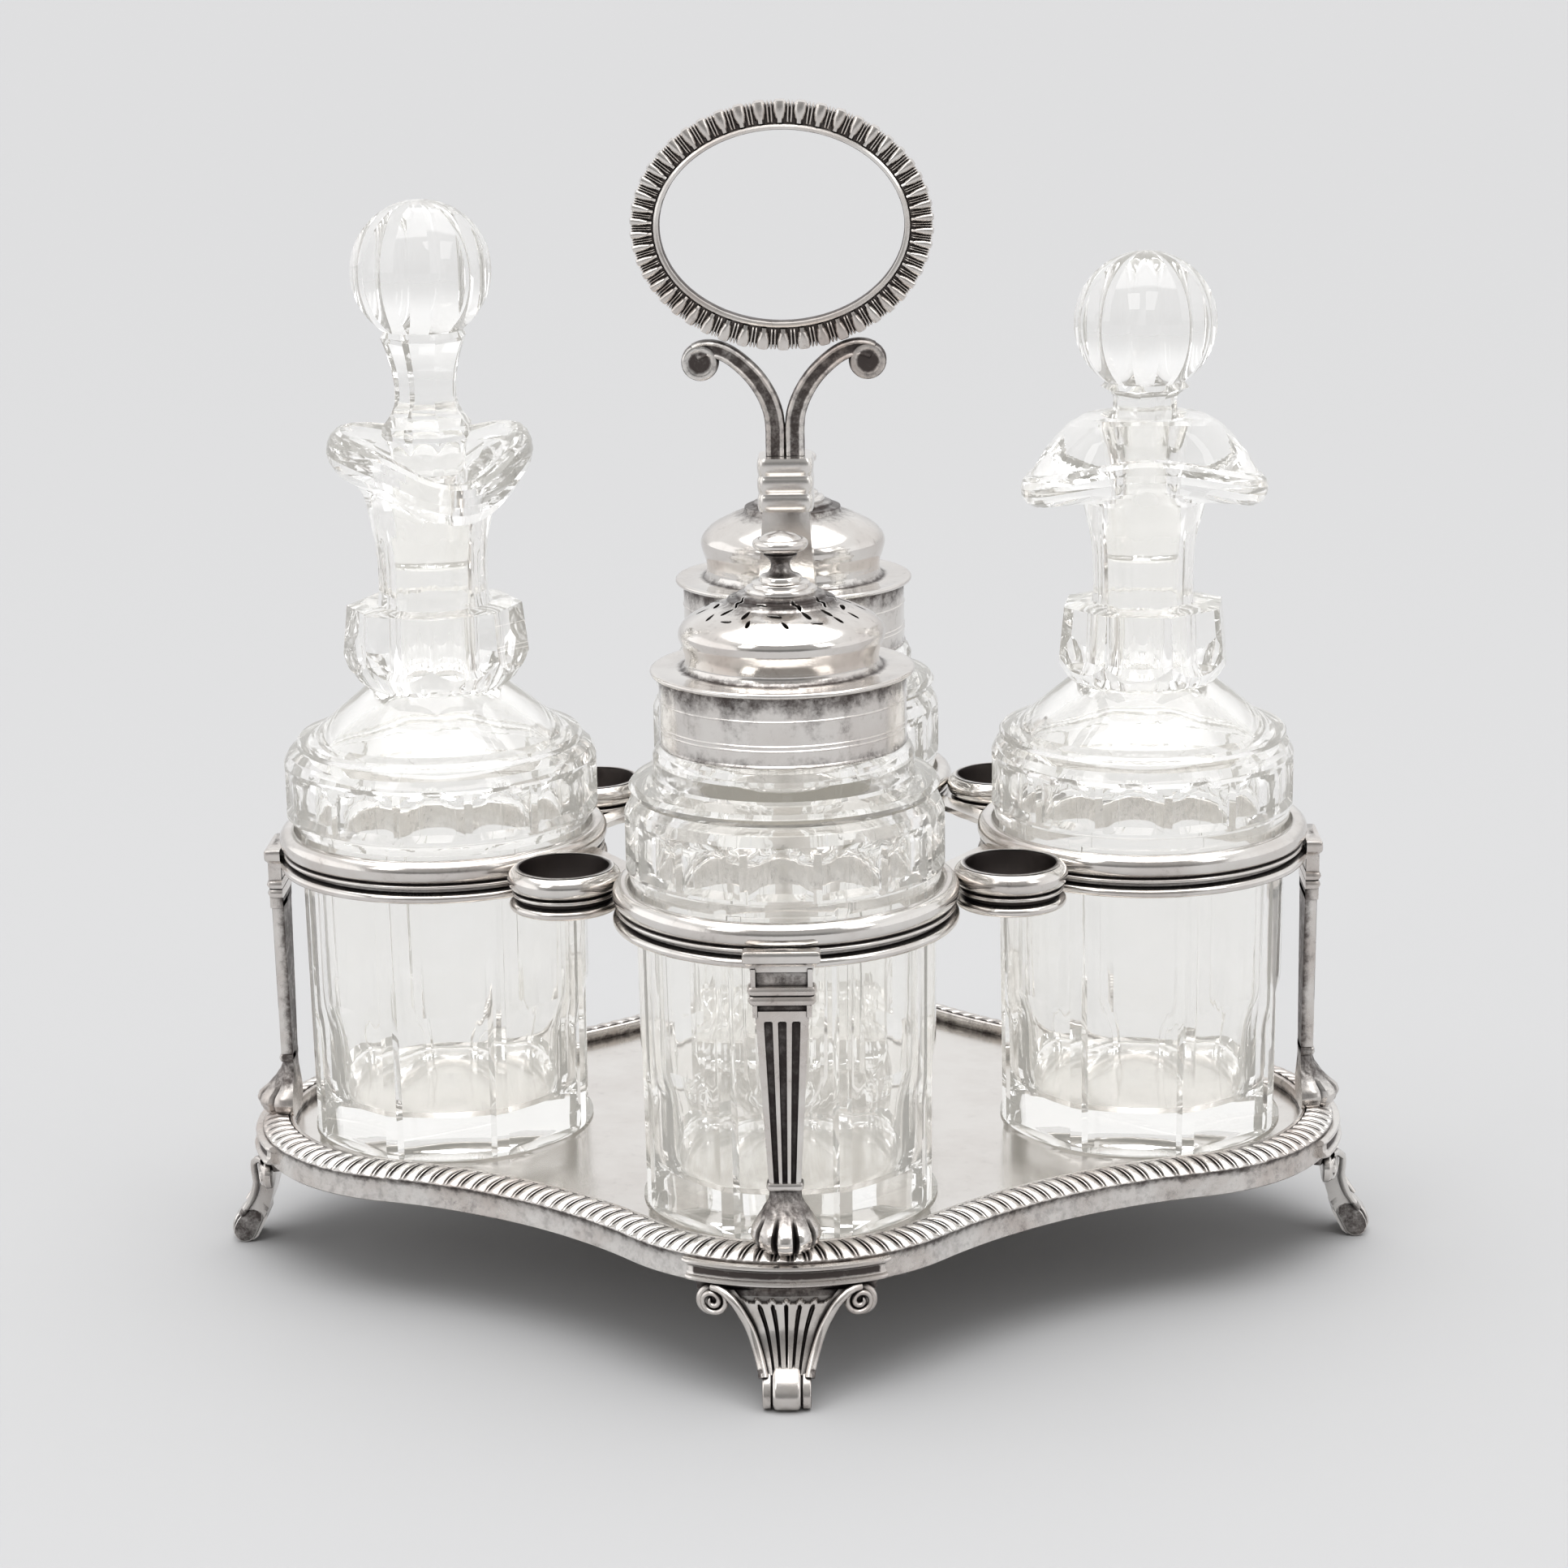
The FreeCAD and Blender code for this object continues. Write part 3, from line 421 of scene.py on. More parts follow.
SILVER = silver("silver", reach=2.6, start=0.80, end=0.42, stain=0.5)
SILVER_CAST = silver("silver_cast", reach=1.7, start=0.88, end=0.52, rough=0.17, stain=0.7)
SILVER_LOOP = silver("silver_loop", reach=0.6, start=0.50, end=0.20, rough=0.18, stain=0.7)
SILVER_EDGE = silver("silver_edge", reach=1.0, start=0.93, end=0.62, rough=0.17, stain=0.8, oxide_and_painted_shade=0.25)
SILVER_SOFT = silver("silver_soft", reach=1.0, start=0.80, end=0.45, rough=0.20, stain=0.3)
SILVER_PLATE = silver("silver_plate", rough=0.16, stain=0.2)
SILVER_DARK = silver("silver_dark", reach=1.8, start=0.95, end=0.55, rough=0.24, stain=0.8, oxide_and_painted_shade=0.45)
SILVER_SHEET = silver("silver_sheet", reach=3.0, start=0.70, end=0.35, rough=0.08, stain=0.45)
CRYSTAL = crystal("crystal")
PLASTER = dull("plaster", (0.62, 0.55, 0.42), 0.8)
BRASS = dull("brass", (0.66, 0.50, 0.27), 0.38, metallic=1.0)


# Tray


HOLLOW_RADIUS = 112.0


def outline_arcs():
    """The tray's outline, anticlockwise: swelling and hollow arcs as (centre, radius, first angle, sweep)."""
    stations = [Vector((SIDE, 0.0)), Vector((0.0, END)), Vector((-SIDE, 0.0)), Vector((0.0, -END))]
    half_span = math.hypot(SIDE, END) / 2.0
    reach = math.sqrt((TRAY_RADIUS + HOLLOW_RADIUS) ** 2 - half_span ** 2)
    centres = []
    for a, b in zip(stations, stations[1:] + stations[:1]):
        away = (a + b) / 2.0
        across = Vector((b.y - a.y, a.x - b.x)).normalized()
        centres.append(away + (across if across.dot(away) > 0 else -across) * reach)
    arcs = []
    for i, station in enumerate(stations):
        before, after = centres[i - 1] - station, centres[i] - station
        first = math.atan2(before.y, before.x)
        sweep = (math.atan2(after.y, after.x) - first) % TAU
        arcs.append((station, TRAY_RADIUS, first, sweep))
        back = station - centres[i]
        onward = stations[(i + 1) % 4] - centres[i]
        first = math.atan2(back.y, back.x)
        sweep = (math.atan2(onward.y, onward.x) - first + math.pi) % TAU - math.pi
        arcs.append((centres[i], HOLLOW_RADIUS, first, sweep))
    return arcs


ARCS = outline_arcs()
OUTLINE_LENGTH = sum(radius * abs(sweep) for _, radius, _, sweep in ARCS)


def on_outline(s):
    """Point and outward normal at a distance s along the outline."""
    s %= OUTLINE_LENGTH
    for centre, radius, first, sweep in ARCS:
        length = radius * abs(sweep)
        if s <= length:
            angle = first + sweep * s / length
            ray = Vector((math.cos(angle), math.sin(angle)))
            return centre + ray * radius, ray if sweep > 0 else -ray
        s -= length
    return on_outline(0.0)


GADROON_PITCH = 3.3
GADROON_LEAN = 1.9
SLOPE_STEPS = 9
# One thin rib and one gadroon, with a cut before each: (share of the pitch, relief)
GADROON = [(0.0, -0.80), (0.04, -0.45), (0.08, 0.12), (0.12, 0.22), (0.16, 0.12), (0.20, -0.45),
           (0.245, -0.80), (0.29, -0.25), (0.36, 0.25), (0.47, 0.52), (0.61, 0.62), (0.75, 0.52),
           (0.87, 0.22), (0.955, -0.30)]
# Points of the border's section, as (distance inwards from the outline, height)
APRON = [(1.2, APRON_LOW), (0.9, APRON_LOW - 0.05), (0.3, APRON_LOW), (0.0, APRON_LOW + 0.3),
         (0.15, APRON_LOW + 1.6), (0.45, APRON_LOW + 3.0), (0.35, APRON_TOP - 0.6), (-0.05, APRON_TOP - 0.1),
         (0.05, APRON_TOP + 0.15)]
INNER_BEAD = [(5.7, BORDER_TOP - 0.65), (5.8, BORDER_TOP - 0.3), (6.25, BORDER_TOP - 0.15),
              (6.7, BORDER_TOP - 0.35), (6.9, BORDER_TOP - 0.8), (6.95, FLOOR + 0.6), (6.7, FLOOR + 0.05),
              (6.7, FLOOR - 1.3), (5.6, FLOOR - 1.3)]
UNDERSIDE = [(4.6, BORDER_TOP - 2.2), (1.3, APRON_TOP - 1.6)]


def make_border():
    """Apron, gadrooned slope and inner bead. The gadroons lean towards the feet at the front and the back."""
    count = round(OUTLINE_LENGTH / GADROON_PITCH)
    pitch = OUTLINE_LENGTH / count
    rings = [border_ring((n + phase) * pitch, relief) for n in range(count) for phase, relief in GADROON]

    def oxide_and_painted_shade(p):
        return 0.75 * smooth(APRON_TOP - 2.0, APRON_TOP - 0.4, p.z) * smooth(APRON_TOP + 0.3, APRON_TOP, p.z)

    piece("tray_border_gadrooned", Shell(rings, loop=True), "stand", ["tray_border"], SILVER_EDGE,
          38.0, oxide_and_painted_shade)


def border_ring(s, relief):
    """Section of the border at a distance s along the outline, where the gadroons have this relief."""
    point = on_outline(s)[0]
    side = max(-1.0, min(1.0, point.x * point.y / 500.0))
    lean = GADROON_LEAN * side
    ring = [section_point(s, inset, height) for inset, height in APRON]
    for k in range(SLOPE_STEPS + 1):
        t = k / SLOPE_STEPS
        lift = relief * math.sin(math.pi * min(max(t, 0.04), 0.96)) ** 0.45
        inset = 0.35 + 5.1 * t - 0.55 * lift * (1.0 - t)
        rise = 1.55 * math.sin(t * math.pi / 2.0) ** 0.9 + 0.70 * lift * (0.50 + 0.50 * t)
        ring.append(section_point(s + lean * t ** 1.5, inset, APRON_TOP + 0.25 + rise))
    ring += [section_point(s + lean, inset, height) for inset, height in INNER_BEAD]
    return ring + [section_point(s + side, inset, height) for inset, height in UNDERSIDE]


def section_point(s, inset, height):
    point, outward = on_outline(s)
    spot = point - outward * inset
    return (spot.x, spot.y, height)


# Rings of the gallery


RAIL_OUTER = 34.7
STOPPER_INNER = 9.6
STOPPER_OUTER = 11.3


def ring_profile(inner, outer, swell=0.0):
    """Closed section of a ring: bottom bead, deep groove, fillet, and a rail that may swell outwards."""
    z = RING_LOW
    rail_low = z + 3.9
    rail = (RING_TOP + rail_low) / 2.0
    loop = [(inner, z + 0.35), (inner + 0.35, z)]
    loop += arc((outer - 0.95, z + 0.95), 0.95, -90, 75, 8)
    loop += [(outer - 1.15, z + 2.0), (outer - 1.75, z + 2.25), (outer - 1.75, z + 3.0)]
    loop += arc((outer - 1.0, z + 3.4), 0.42, -95, 80, 6)
    loop += [(outer - 1.3, z + 3.95)]
    loop += arc((outer - 2.1, rail), 2.1 + swell, -62, 90, 14, (RING_TOP - rail_low) / 2.0)
    return loop + [(inner + 0.5, RING_TOP - 0.02), (inner + 0.1, RING_TOP - 0.3), (inner, RING_TOP - 0.8)]


def make_ring(node, x, y, section, count, seed, full_tarnish_and_shade, no_tarnish_and_shade, amount):
    """One ring, whose inner wall darkens, partly tarnish and partly painted shade, fading outwards between
    the two radii given.
    """
    shell = Shell(spun(section, around(count), dented(0.10, seed)), loop=True)
    # Painted shade with tarnish: the inner wall darkens towards the hole, partly for tarnish and partly for
    # the shade that falls inside the ring.
    piece(f"{node}_rail", shell.place(x, y), "stand", [node], SILVER, 40.0,
          lambda p: amount * smooth(no_tarnish_and_shade, full_tarnish_and_shade, math.hypot(p.x - x, p.y - y)))


def make_rings():
    for index, (place, (x, y, _)) in enumerate(STATIONS.items()):
        node = "bottle_ring_" + place
        inner = half_size(node).x - 3.4
        section = ring_profile(inner, RAIL_OUTER)
        make_ring(node, x, y, section, 180, index * 3.1, inner + 0.1, inner + 0.6, 0.45)
    for index, place in enumerate(CORNERS):
        node = "stopper_ring_" + place
        spot = middle(node)
        inner = STOPPER_INNER
        section = ring_profile(inner, STOPPER_OUTER, 0.25)
        make_ring(node, spot.x, spot.y, section, 96, index * 1.7, inner + 0.05, inner + 0.6, 1.15)


# Pilasters. Distances outwards are measured from the axis of the vessel that a pilaster stands before.


STRIP_BACK = 34.2
STRIP_FACE = 36.85
CLAW_HEIGHT = 12.2
FLUTE_CENTRES = (-0.53, 0.0, 0.53)
FLUTE_HALF = 0.165


def make_pilasters():
    for place, (x, y, turn) in STATIONS.items():
        node = f"pilaster_{place}"
        base = low(node).z
        top = high(node).z + 1.2
        shell = Shell(shaft_rings(base, top))
        # Cap, upper panel, two cushions, lower panel and the fillet over the claw
        for back, front, half, z0, z1, edge in (
            (34.1, 37.5, 7.5, top - 2.5, top - 0.1, 0.5),
            (34.2, 36.5, 5.9, top - 7.4, top - 3.6, 0.15),
            (34.1, 37.4, 6.7, top - 9.0, top - 6.9, 0.95),
            (34.1, 37.3, 6.5, top - 11.0, top - 8.8, 0.95),
            (34.2, 36.4, 5.6, top - 13.2, top - 10.8, 0.15),
            (34.2, 37.2, 3.6, base + 12.0, base + 13.9, 0.7),
        ):
            shell.skin(slab_rings(back, front, half, z0, z1, edge))
        for hand in (-1.0, 1.0):
            shell.skin(cheek_rings(hand, 5.0, 5.95, top - 7.4, top - 3.6))
            shell.skin(cheek_rings(hand, 4.75, 5.65, top - 13.2, top - 10.8))
        shell.skin(cavetto_rings(top))
        shell.skin(claw_rings(base))
        piece(f"pilaster_{place}_fluted", shell.place(x, y, 0.0, turn),
              "stand", [node], SILVER_CAST, 30.0, pilaster_soot(x, y, turn, base))


def slab_rings(back, front, half, z0, z1, edge):
    """Rings of an upright block with rounded edges."""
    levels = [(z0, edge), (z0 + edge * 0.3, edge * 0.3), (z0 + edge, 0.0),
              (z1 - edge, 0.0), (z1 - edge * 0.3, edge * 0.3), (z1, edge)]
    return [rounded_rectangle(back, front - cut, half - cut, edge, z) for z, cut in levels]


def rounded_rectangle(back, front, half, edge, z):
    """A level ring with two round corners at the front."""
    corner = edge * 0.3
    return [(back, -half, z), (front - edge, -half, z), (front - corner, -half + corner, z),
            (front, -half + edge, z), (front, half - edge, z), (front - corner, half - corner, z),
            (front - edge, half, z), (back, half, z)]


def cheek_rings(hand, inner, outer, z0, z1):
    """Narrow raised edge beside a sunk panel."""
    return [[(STRIP_BACK, hand * inner, z), (36.95, hand * inner, z), (36.95, hand * outer, z),
             (STRIP_BACK, hand * outer, z)] for z in (z0, z1)]


def cavetto_rings(top):
    """Hollow moulding that widens upwards under the cap."""
    return [rounded_rectangle(34.1, lerp(36.7, 37.4, t ** 2), lerp(6.0, 7.3, t ** 2),
                              0.3, top - 4.2 + 1.9 * t)
            for t in (0.0, 0.25, 0.5, 0.75, 1.0)]


def pilaster_soot(x, y, turn, base):
    """Oxide in the flutes and the sunk panels, and a little over the claw."""
    def oxide_and_painted_shade(p):
        spot = from_station(p, x, y, turn)
        if spot.z < base + 12.5:
            return 0.38 + 0.35 * smooth(base + 5.0, base + 8.0, spot.z)
        sunk = smooth(36.62, 36.45, spot.x) if abs(spot.y) < 5.8 else 0.0
        return 0.85 * sunk
    return oxide_and_painted_shade


def shaft_rings(base, top):
    """Tapered strip with three flutes that have round tops."""
    low_z, high_z = base + 12.5, top - 12.0
    flute_low, flute_top = base + 14.2, top - 14.0
    across = [-1.0, -0.97, -0.86]
    for centre in FLUTE_CENTRES:
        across += [centre + FLUTE_HALF * k for k in (-1.12, -1.0, -0.8, -0.4, 0.0, 0.4, 0.8, 1.0, 1.12)]
    across += [0.86, 0.97, 1.0]
    levels = [low_z, flute_low, flute_low + 0.1, flute_low + 0.3]
    levels += [lerp(flute_low + 0.3, flute_top - 1.6, i / 8.0) for i in range(1, 9)]
    levels += [flute_top - 1.2, flute_top - 0.8, flute_top - 0.4, flute_top - 0.15, flute_top, high_z]
    rings = []
    for z in levels:
        half = lerp(3.05, 5.2, (z - low_z) / (high_z - low_z))
        ring = [(STRIP_BACK, -half, z)]
        ring += [(STRIP_FACE - flute_dip(u, z, flute_low, flute_top, half), half * u, z) for u in across]
        rings.append(ring + [(STRIP_BACK, half, z)])
    return rings


def flute_dip(u, z, flute_low, flute_top, half):
    """Depth below the strip's face, u from -1 to 1 across it."""
    if abs(u) > 0.96:
        return 0.25
    wide = FLUTE_HALF * half
    rise = max(z - (flute_top - wide), 0.0)
    reach = math.sqrt(max(wide * wide - rise * rise, 0.0))
    for centre in FLUTE_CENTRES:
        away = abs(u - centre) * half
        if flute_low <= z <= flute_top and away < reach:
            return 0.85 * math.sqrt(1.0 - (away / wide) ** 2) ** 0.6
    return 0.0


def claw_rings(base):
    """Claw at the foot of a pilaster: hairy ankle, five knuckled toes that curl over the border."""
    knots = [(0.0, (4.6, 39.7)), (0.6, (5.9, 41.3)), (1.6, (6.6, 42.2)), (3.0, (6.9, 42.5)),
             (4.6, (6.5, 41.9)), (6.2, (5.6, 40.5)), (8.0, (4.4, 38.8)), (10.0, (3.3, 37.4)),
             (CLAW_HEIGHT, (2.9, 36.7))]
    rings = []
    rows = 40
    for row in range(rows + 1):
        height = CLAW_HEIGHT * row / rows
        half, front = along(knots, height)
        z = base + height
        ring = [(STRIP_BACK, -half * 0.92, z)]
        for i in range(61):
            angle = math.radians(-90 + 3.0 * i)
            out = claw_relief(angle, height)
            ring.append((STRIP_BACK + (front - STRIP_BACK) * math.cos(angle) * out,
                         half * math.sin(angle) * lerp(1.0, out, 0.6), z))
        rings.append(ring + [(STRIP_BACK, half * 0.92, z)])
    return rings


def claw_relief(angle, height):
    """Factor by which toes, knuckles and hair move the claw's surface outwards."""
    toe = smooth(8.6, 5.0, height)
    place = angle / math.pi * 5.0 + 2.5
    gap = abs((place % 1.0) - 0.5) * 2.0
    groove = 1.1 * toe * smooth(0.62, 1.0, gap) * (0.0 if abs(angle) > 1.35 else 1.0)
    knuckle = 0.45 * toe * math.cos((place % 1.0 - 0.5) * math.pi)
    knuckle *= smooth(2.2, 3.6, height) * smooth(6.6, 4.6, height)
    hair = 0.16 * (1.0 - toe) * math.sin(place * 9.0 + height * 1.7 + math.sin(height * 2.3))
    return max(1.0 + (knuckle + hair - groove) / 6.0, 0.5)


# Feet


# Rows of (share of the way down, front x, front z, back x, back z, half width), with x from the tray's edge
LEG = [(0.0, 0.3, 22.3, -3.0, 22.3, 11.8), (0.10, 0.95, 20.4, -2.95, 20.4, 10.0),
       (0.20, 1.2, 18.4, -2.8, 18.6, 8.7), (0.38, 1.3, 14.8, -2.0, 13.6, 6.9),
       (0.60, 2.6, 10.8, -0.5, 8.4, 5.5), (0.80, 4.6, 7.6, 1.6, 4.4, 4.6), (1.0, 6.4, 5.0, 3.8, 1.4, 4.2)]
LEG_LINE = [(knot[0], knot[1:]) for knot in curve_through(LEG, 10)]
LEG_END = 0.86
LEG_FACE = 0.84
SCROLL_STEPS = 60
SCROLL_TURNS = 1.9


def make_feet():
    for place, (x, y, turn) in STATIONS.items():
        shell = Shell()
        bracket(shell)
        shell.skin(leg_rings())
        for hand in (-1.0, 1.0):
            volute(shell, hand)
        toe(shell)
        piece(f"foot_{place}_chased", shell.place(x, y, 0.0, turn), "stand", [f"foot_{place}"],
              SILVER_CAST, 34.0, foot_soot(x, y, turn))


def foot_soot(x, y, turn):
    """Oxide in the groove and the cove under the band, and on the flat sides of the toe."""
    def oxide_and_painted_shade(p):
        spot = from_station(p, x, y, turn)
        reach = math.hypot(spot.x, spot.y) - TRAY_RADIUS
        height = spot.z - APRON_LOW
        if -1.8 < height < 3.7 and abs(spot.y) < 18.0:
            groove = smooth(1.35, 1.05, reach) * smooth(1.5, 2.1, height) * smooth(3.6, 3.3, height)
            cove = 0.75 * smooth(0.9, 0.4, reach) * smooth(0.6, 0.25, height)
            return max(groove, cove)
        return 0.75 if spot.z < 8.2 and abs(spot.y) > 4.65 else 0.0
    return oxide_and_painted_shade


def bracket(shell):
    """Bead, band and deep cove that follow the apron; each is a little shorter than the one above."""
    bead = [(-0.4, 4.9), (0.9, 4.95), (1.45, 4.75), (1.6, 4.4), (1.5, 4.05), (1.1, 3.85), (0.75, 3.6),
            (-0.4, 3.5)]
    band = [(-0.4, 3.65), (0.75, 3.65), (0.95, 3.3), (1.0, 2.4), (1.25, 1.9), (1.8, 1.65), (1.95, 1.3),
            (1.8, 0.9), (1.2, 0.7), (-0.4, 0.7)]
    cove = [(-1.8, 1.0), (1.0, 0.8), (0.35, 0.3), (-0.2, -0.6), (-0.3, -1.6), (-1.8, -1.7)]
    steps = 44
    for section, half in ((bead, 28.6), (band, 27.4), (cove, 25.2)):
        rings = []
        for i in range(steps + 1):
            angle = math.radians(half) * (-1.0 + 2.0 * i / steps)
            end = 0.4 if i in (0, steps) else 0.0
            rings.append([polar(TRAY_RADIUS + d - (end if d > 0.5 else 0.0), angle, APRON_LOW + z)
                          for d, z in section])
        shell.skin(rings)


def leg_rings():
    """Leg with five channels under a scalloped top."""
    rings = []
    rows = 60
    columns = 84
    for row in range(rows + 1):
        v = LEG_END * row / rows
        front_x, front_z, back_x, back_z, half = along(LEG_LINE, v)
        ring = []
        for i in range(columns + 1):
            u = -1.0 + 2.0 * i / columns
            relief = leg_relief(u, v)
            bow = 0.9 * (1.0 - u * u)
            ring.append((TRAY_RADIUS + front_x - 0.9 + bow + relief * 0.95, half * u,
                         front_z + relief * 0.25))
        rings.append(ring + [(TRAY_RADIUS + back_x, half * u, back_z) for u in (0.9, 0.45, 0.0, -0.45, -0.9)])
    return rings


def leg_relief(u, v):
    """Height of the chasing on the leg's face: bands parted by five grooves, under a row of small arches."""
    if abs(u) > LEG_FACE:
        return 0.25 * smooth(0.0, 0.08, v)
    place = (u / LEG_FACE + 1.0) * 3.0
    part = place % 1.0
    from_groove = min(part, 1.0 - part) if 0.5 < place < 5.5 else 0.5
    top = 0.075 + 0.050 * math.sin(part * math.pi)
    if v < top:
        return -0.85
    groove = smooth(0.19, 0.05, from_groove) * smooth(top + 0.03, top + 0.10, v) * smooth(LEG_END, 0.80, v)
    return 0.30 - 1.0 * groove


def apron_x(y):
    """How far outwards the round apron reaches, a distance y to the side of the foot's middle."""
    return (TRAY_RADIUS * TRAY_RADIUS - y * y) ** 0.5


def volute(shell, hand):
    """A fillet that rises along the leg's flank, then turns into a scroll of two turns over a disc."""
    hub_y, hub_z = 14.35 * hand, 19.6
    path = []
    for i in range(SCROLL_STEPS + 1):
        t = i / SCROLL_STEPS
        radius = lerp(0.35, 2.95, t)
        angle = math.radians(90.0) - (1.0 - t) * TAU * SCROLL_TURNS
        y = hub_y - hand * radius * math.cos(angle)
        path.append(Vector((apron_x(y) + 1.1, y, hub_z + radius * math.sin(angle))))
    flank = []
    for k in range(1, 28):
        front_x, front_z, _, _, half = along(LEG_LINE, 0.05 + 0.83 * k / 27.0)
        flank.append(Vector((TRAY_RADIUS + front_x + 0.35, hand * (half + 0.1), front_z)))
    scroll_end = path[-1]
    for t in (0.33, 0.66):
        spot = scroll_end.lerp(flank[0], t)
        spot.z += 0.55 * math.sin(t * math.pi)
        path.append(spot)
    path += flank
    last = len(path) - 1
    out = Vector((1.0, 0.0, 0.35)).normalized()

    def level(ahead):
        side = ahead.cross(out).normalized()
        return side, side.cross(ahead).normalized()

    def section(i):
        wide = 0.62 if i < SCROLL_STEPS else lerp(0.80, 0.95, (i - SCROLL_STEPS) / (last - SCROLL_STEPS))
        wide *= lerp(0.75, 1.0, min(i / 12.0, 1.0))
        return [(wide * math.cos(a), 0.75 * math.sin(a)) for a in around(12)]

    shell.skin(swept(path, level, section))
    disc = ((-1.0, 2.7), (-0.8, 3.2), (0.3, 3.25), (0.75, 2.9), (0.75, 0.4))
    shell.skin([[(apron_x(hub_y) + x, hub_y + r * math.cos(a), hub_z + r * math.sin(a)) for a in around(40)]
                for x, r in disc])


def toe(shell):
    """Toe: a plain rounded block between two narrower strips, joined by a sunk web."""
    outline = [(3.4, 8.4), (4.8, 7.9), (6.2, 6.8), (7.4, 5.3), (8.2, 3.6), (8.35, 2.2), (7.9, 1.0),
               (7.0, 0.25), (6.0, 0.02), (4.9, 0.25), (4.0, 1.0), (3.4, 2.2), (2.6, 3.9), (1.8, 5.6),
               (1.8, 7.2)]
    middle_x, middle_z = 5.4, 3.9
    strip = [(2.6, 8.0), (4.0, 7.5)] + [(x - 0.75, z * 0.97 + 0.02) for x, z in outline[2:]]
    steps = 14
    for points, y0, y1, soft in (
        (outline, -2.65, 2.65, 0.14),
        (strip, -4.7, -3.0, 0.10),
        (strip, 3.0, 4.7, 0.10),
    ):
        rings = []
        for k in range(steps + 1):
            t = k / steps
            end = max(abs(2.0 * t - 1.0) - 0.70, 0.0) / 0.30
            size = 1.0 - soft * end ** 2.2
            rings.append([(TRAY_RADIUS + middle_x + (x - middle_x) * size, lerp(y0, y1, t),
                           middle_z + (z - middle_z) * size) for x, z in points])
        shell.skin(rings)
    web = [(x - 1.6, z * 0.93 + 0.3) for x, z in outline]
    shell.skin([[(TRAY_RADIUS + x, y, z) for x, z in web] for y in (-4.2, -2.0, 2.0, 4.2)])


# Stem collar, arms and loop


REEDS = 3
REED_STEPS = 8


def rounded_square(half, z):
    """A level ring between a square and a circle, as a superellipse of the seventh power."""
    power = 7.0
    ring = []
    for a in around(64):
        reach = (abs(math.cos(a)) ** power + abs(math.sin(a)) ** power) ** (-1.0 / power)
        ring.append(polar(half * reach, a, z))
    return ring


def make_stem_collar():
    base = low("stem_collar").z
    height = (high("stem_collar").z - base) / REEDS
    rings = []
    for n in range(REEDS):
        for k in range(REED_STEPS + 1):
            t = k / REED_STEPS
            bulge = math.sin(math.pi * min(max(t, 0.03), 0.97)) ** 0.22
            z = base + n * height + height * lerp(0.02, 0.98, t)
            rings.append(rounded_square(5.05 + 0.80 * bulge, z))
    piece("stem_collar_reeded", Shell(rings), "stand", ["stem_collar"], SILVER_SOFT, 40.0)


def make_arms():
    """Two straps that rise side by side, part, and end in round scrolls."""
    foot = low("handle_arm_left").z
    deep = half_size("handle_arm_left").y
    line = [(2.0, 0.0), (2.0, 3.0), (2.02, 6.0), (2.5, 9.3), (3.9, 12.8), (6.2, 16.3), (9.1, 19.2),
            (11.8, 21.1), (14.4, 22.0), (16.6, 22.0), (18.2, 21.4)]
    line = curve_through(line, 6)
    face = [(deep * 0.84, 0.4), (deep * 0.85, 1.9), (deep * 0.88, 2.3), (deep * 0.95, 2.6),
            (deep * 0.99, 2.95), (deep * 0.94, 3.4), (deep * 0.72, 3.75), (deep * 0.36, 3.88)]
    up = Vector((0.0, 1.0, 0.0))
    last = len(line) - 1
    for name, hand in (("left", -1.0), ("right", 1.0)):
        path = [Vector((x * hand, 0.0, foot + z)) for x, z in line]
        shell = Shell(swept(path, lambda ahead: (ahead.cross(up).normalized(), up),
                            lambda i: arm_section(lerp(2.02, 1.80, smooth(0.2, 0.8, i / last)), deep * 0.98)))
        hub = Vector((17.2 * hand, 0.0, foot + 19.4))
        shell.skin([[(hub.x + r * math.cos(a), y, hub.z + r * math.sin(a)) for a in around(48)]
                    for y, r in [(-y, r) for y, r in face] + face[::-1]])
        piece(f"handle_arm_{name}_scrolled", shell, "stand", [f"handle_arm_{name}"], SILVER_DARK,
              34.0, arm_soot(hub, deep))


def arm_soot(hub, deep):
    """Oxide on the flat face of the scroll's end and down the hollow of the strap."""
    def oxide_and_painted_shade(p):
        face = smooth(2.5, 2.1, math.hypot(p.x - hub.x, p.z - hub.z)) * 0.95
        hollow = 0.80 * smooth(0.97, 0.84, abs(p.y) / deep)
        return max(face, hollow)
    return oxide_and_painted_shade


def arm_section(half, deep):
    """Strap section: rounded edges with a shallow hollow along each face."""
    side = [(-1.0, 0.40), (-0.97, 0.70), (-0.86, 0.92), (-0.70, 1.0), (-0.54, 0.94), (-0.40, 0.84),
            (-0.2, 0.79), (0.0, 0.78)]
    front = [(half * x, -deep * y) for x, y in side + [(-x, y) for x, y in reversed(side[:-1])]]
    return front + [(-x, -y) for x, y in front]


LOBES = 50
# Phases of one lobe and the two ribs beside it, as shares of the pitch from the lobe's middle
LOBE_PHASES = [-0.322, -0.31, -0.275, -0.20, -0.10, 0.0, 0.10, 0.20, 0.275, 0.31, 0.322, 0.345, 0.36, 0.385,
               0.41, 0.435, 0.46, 0.475, 0.50, 0.525, 0.54, 0.565, 0.59, 0.615, 0.64, 0.655]


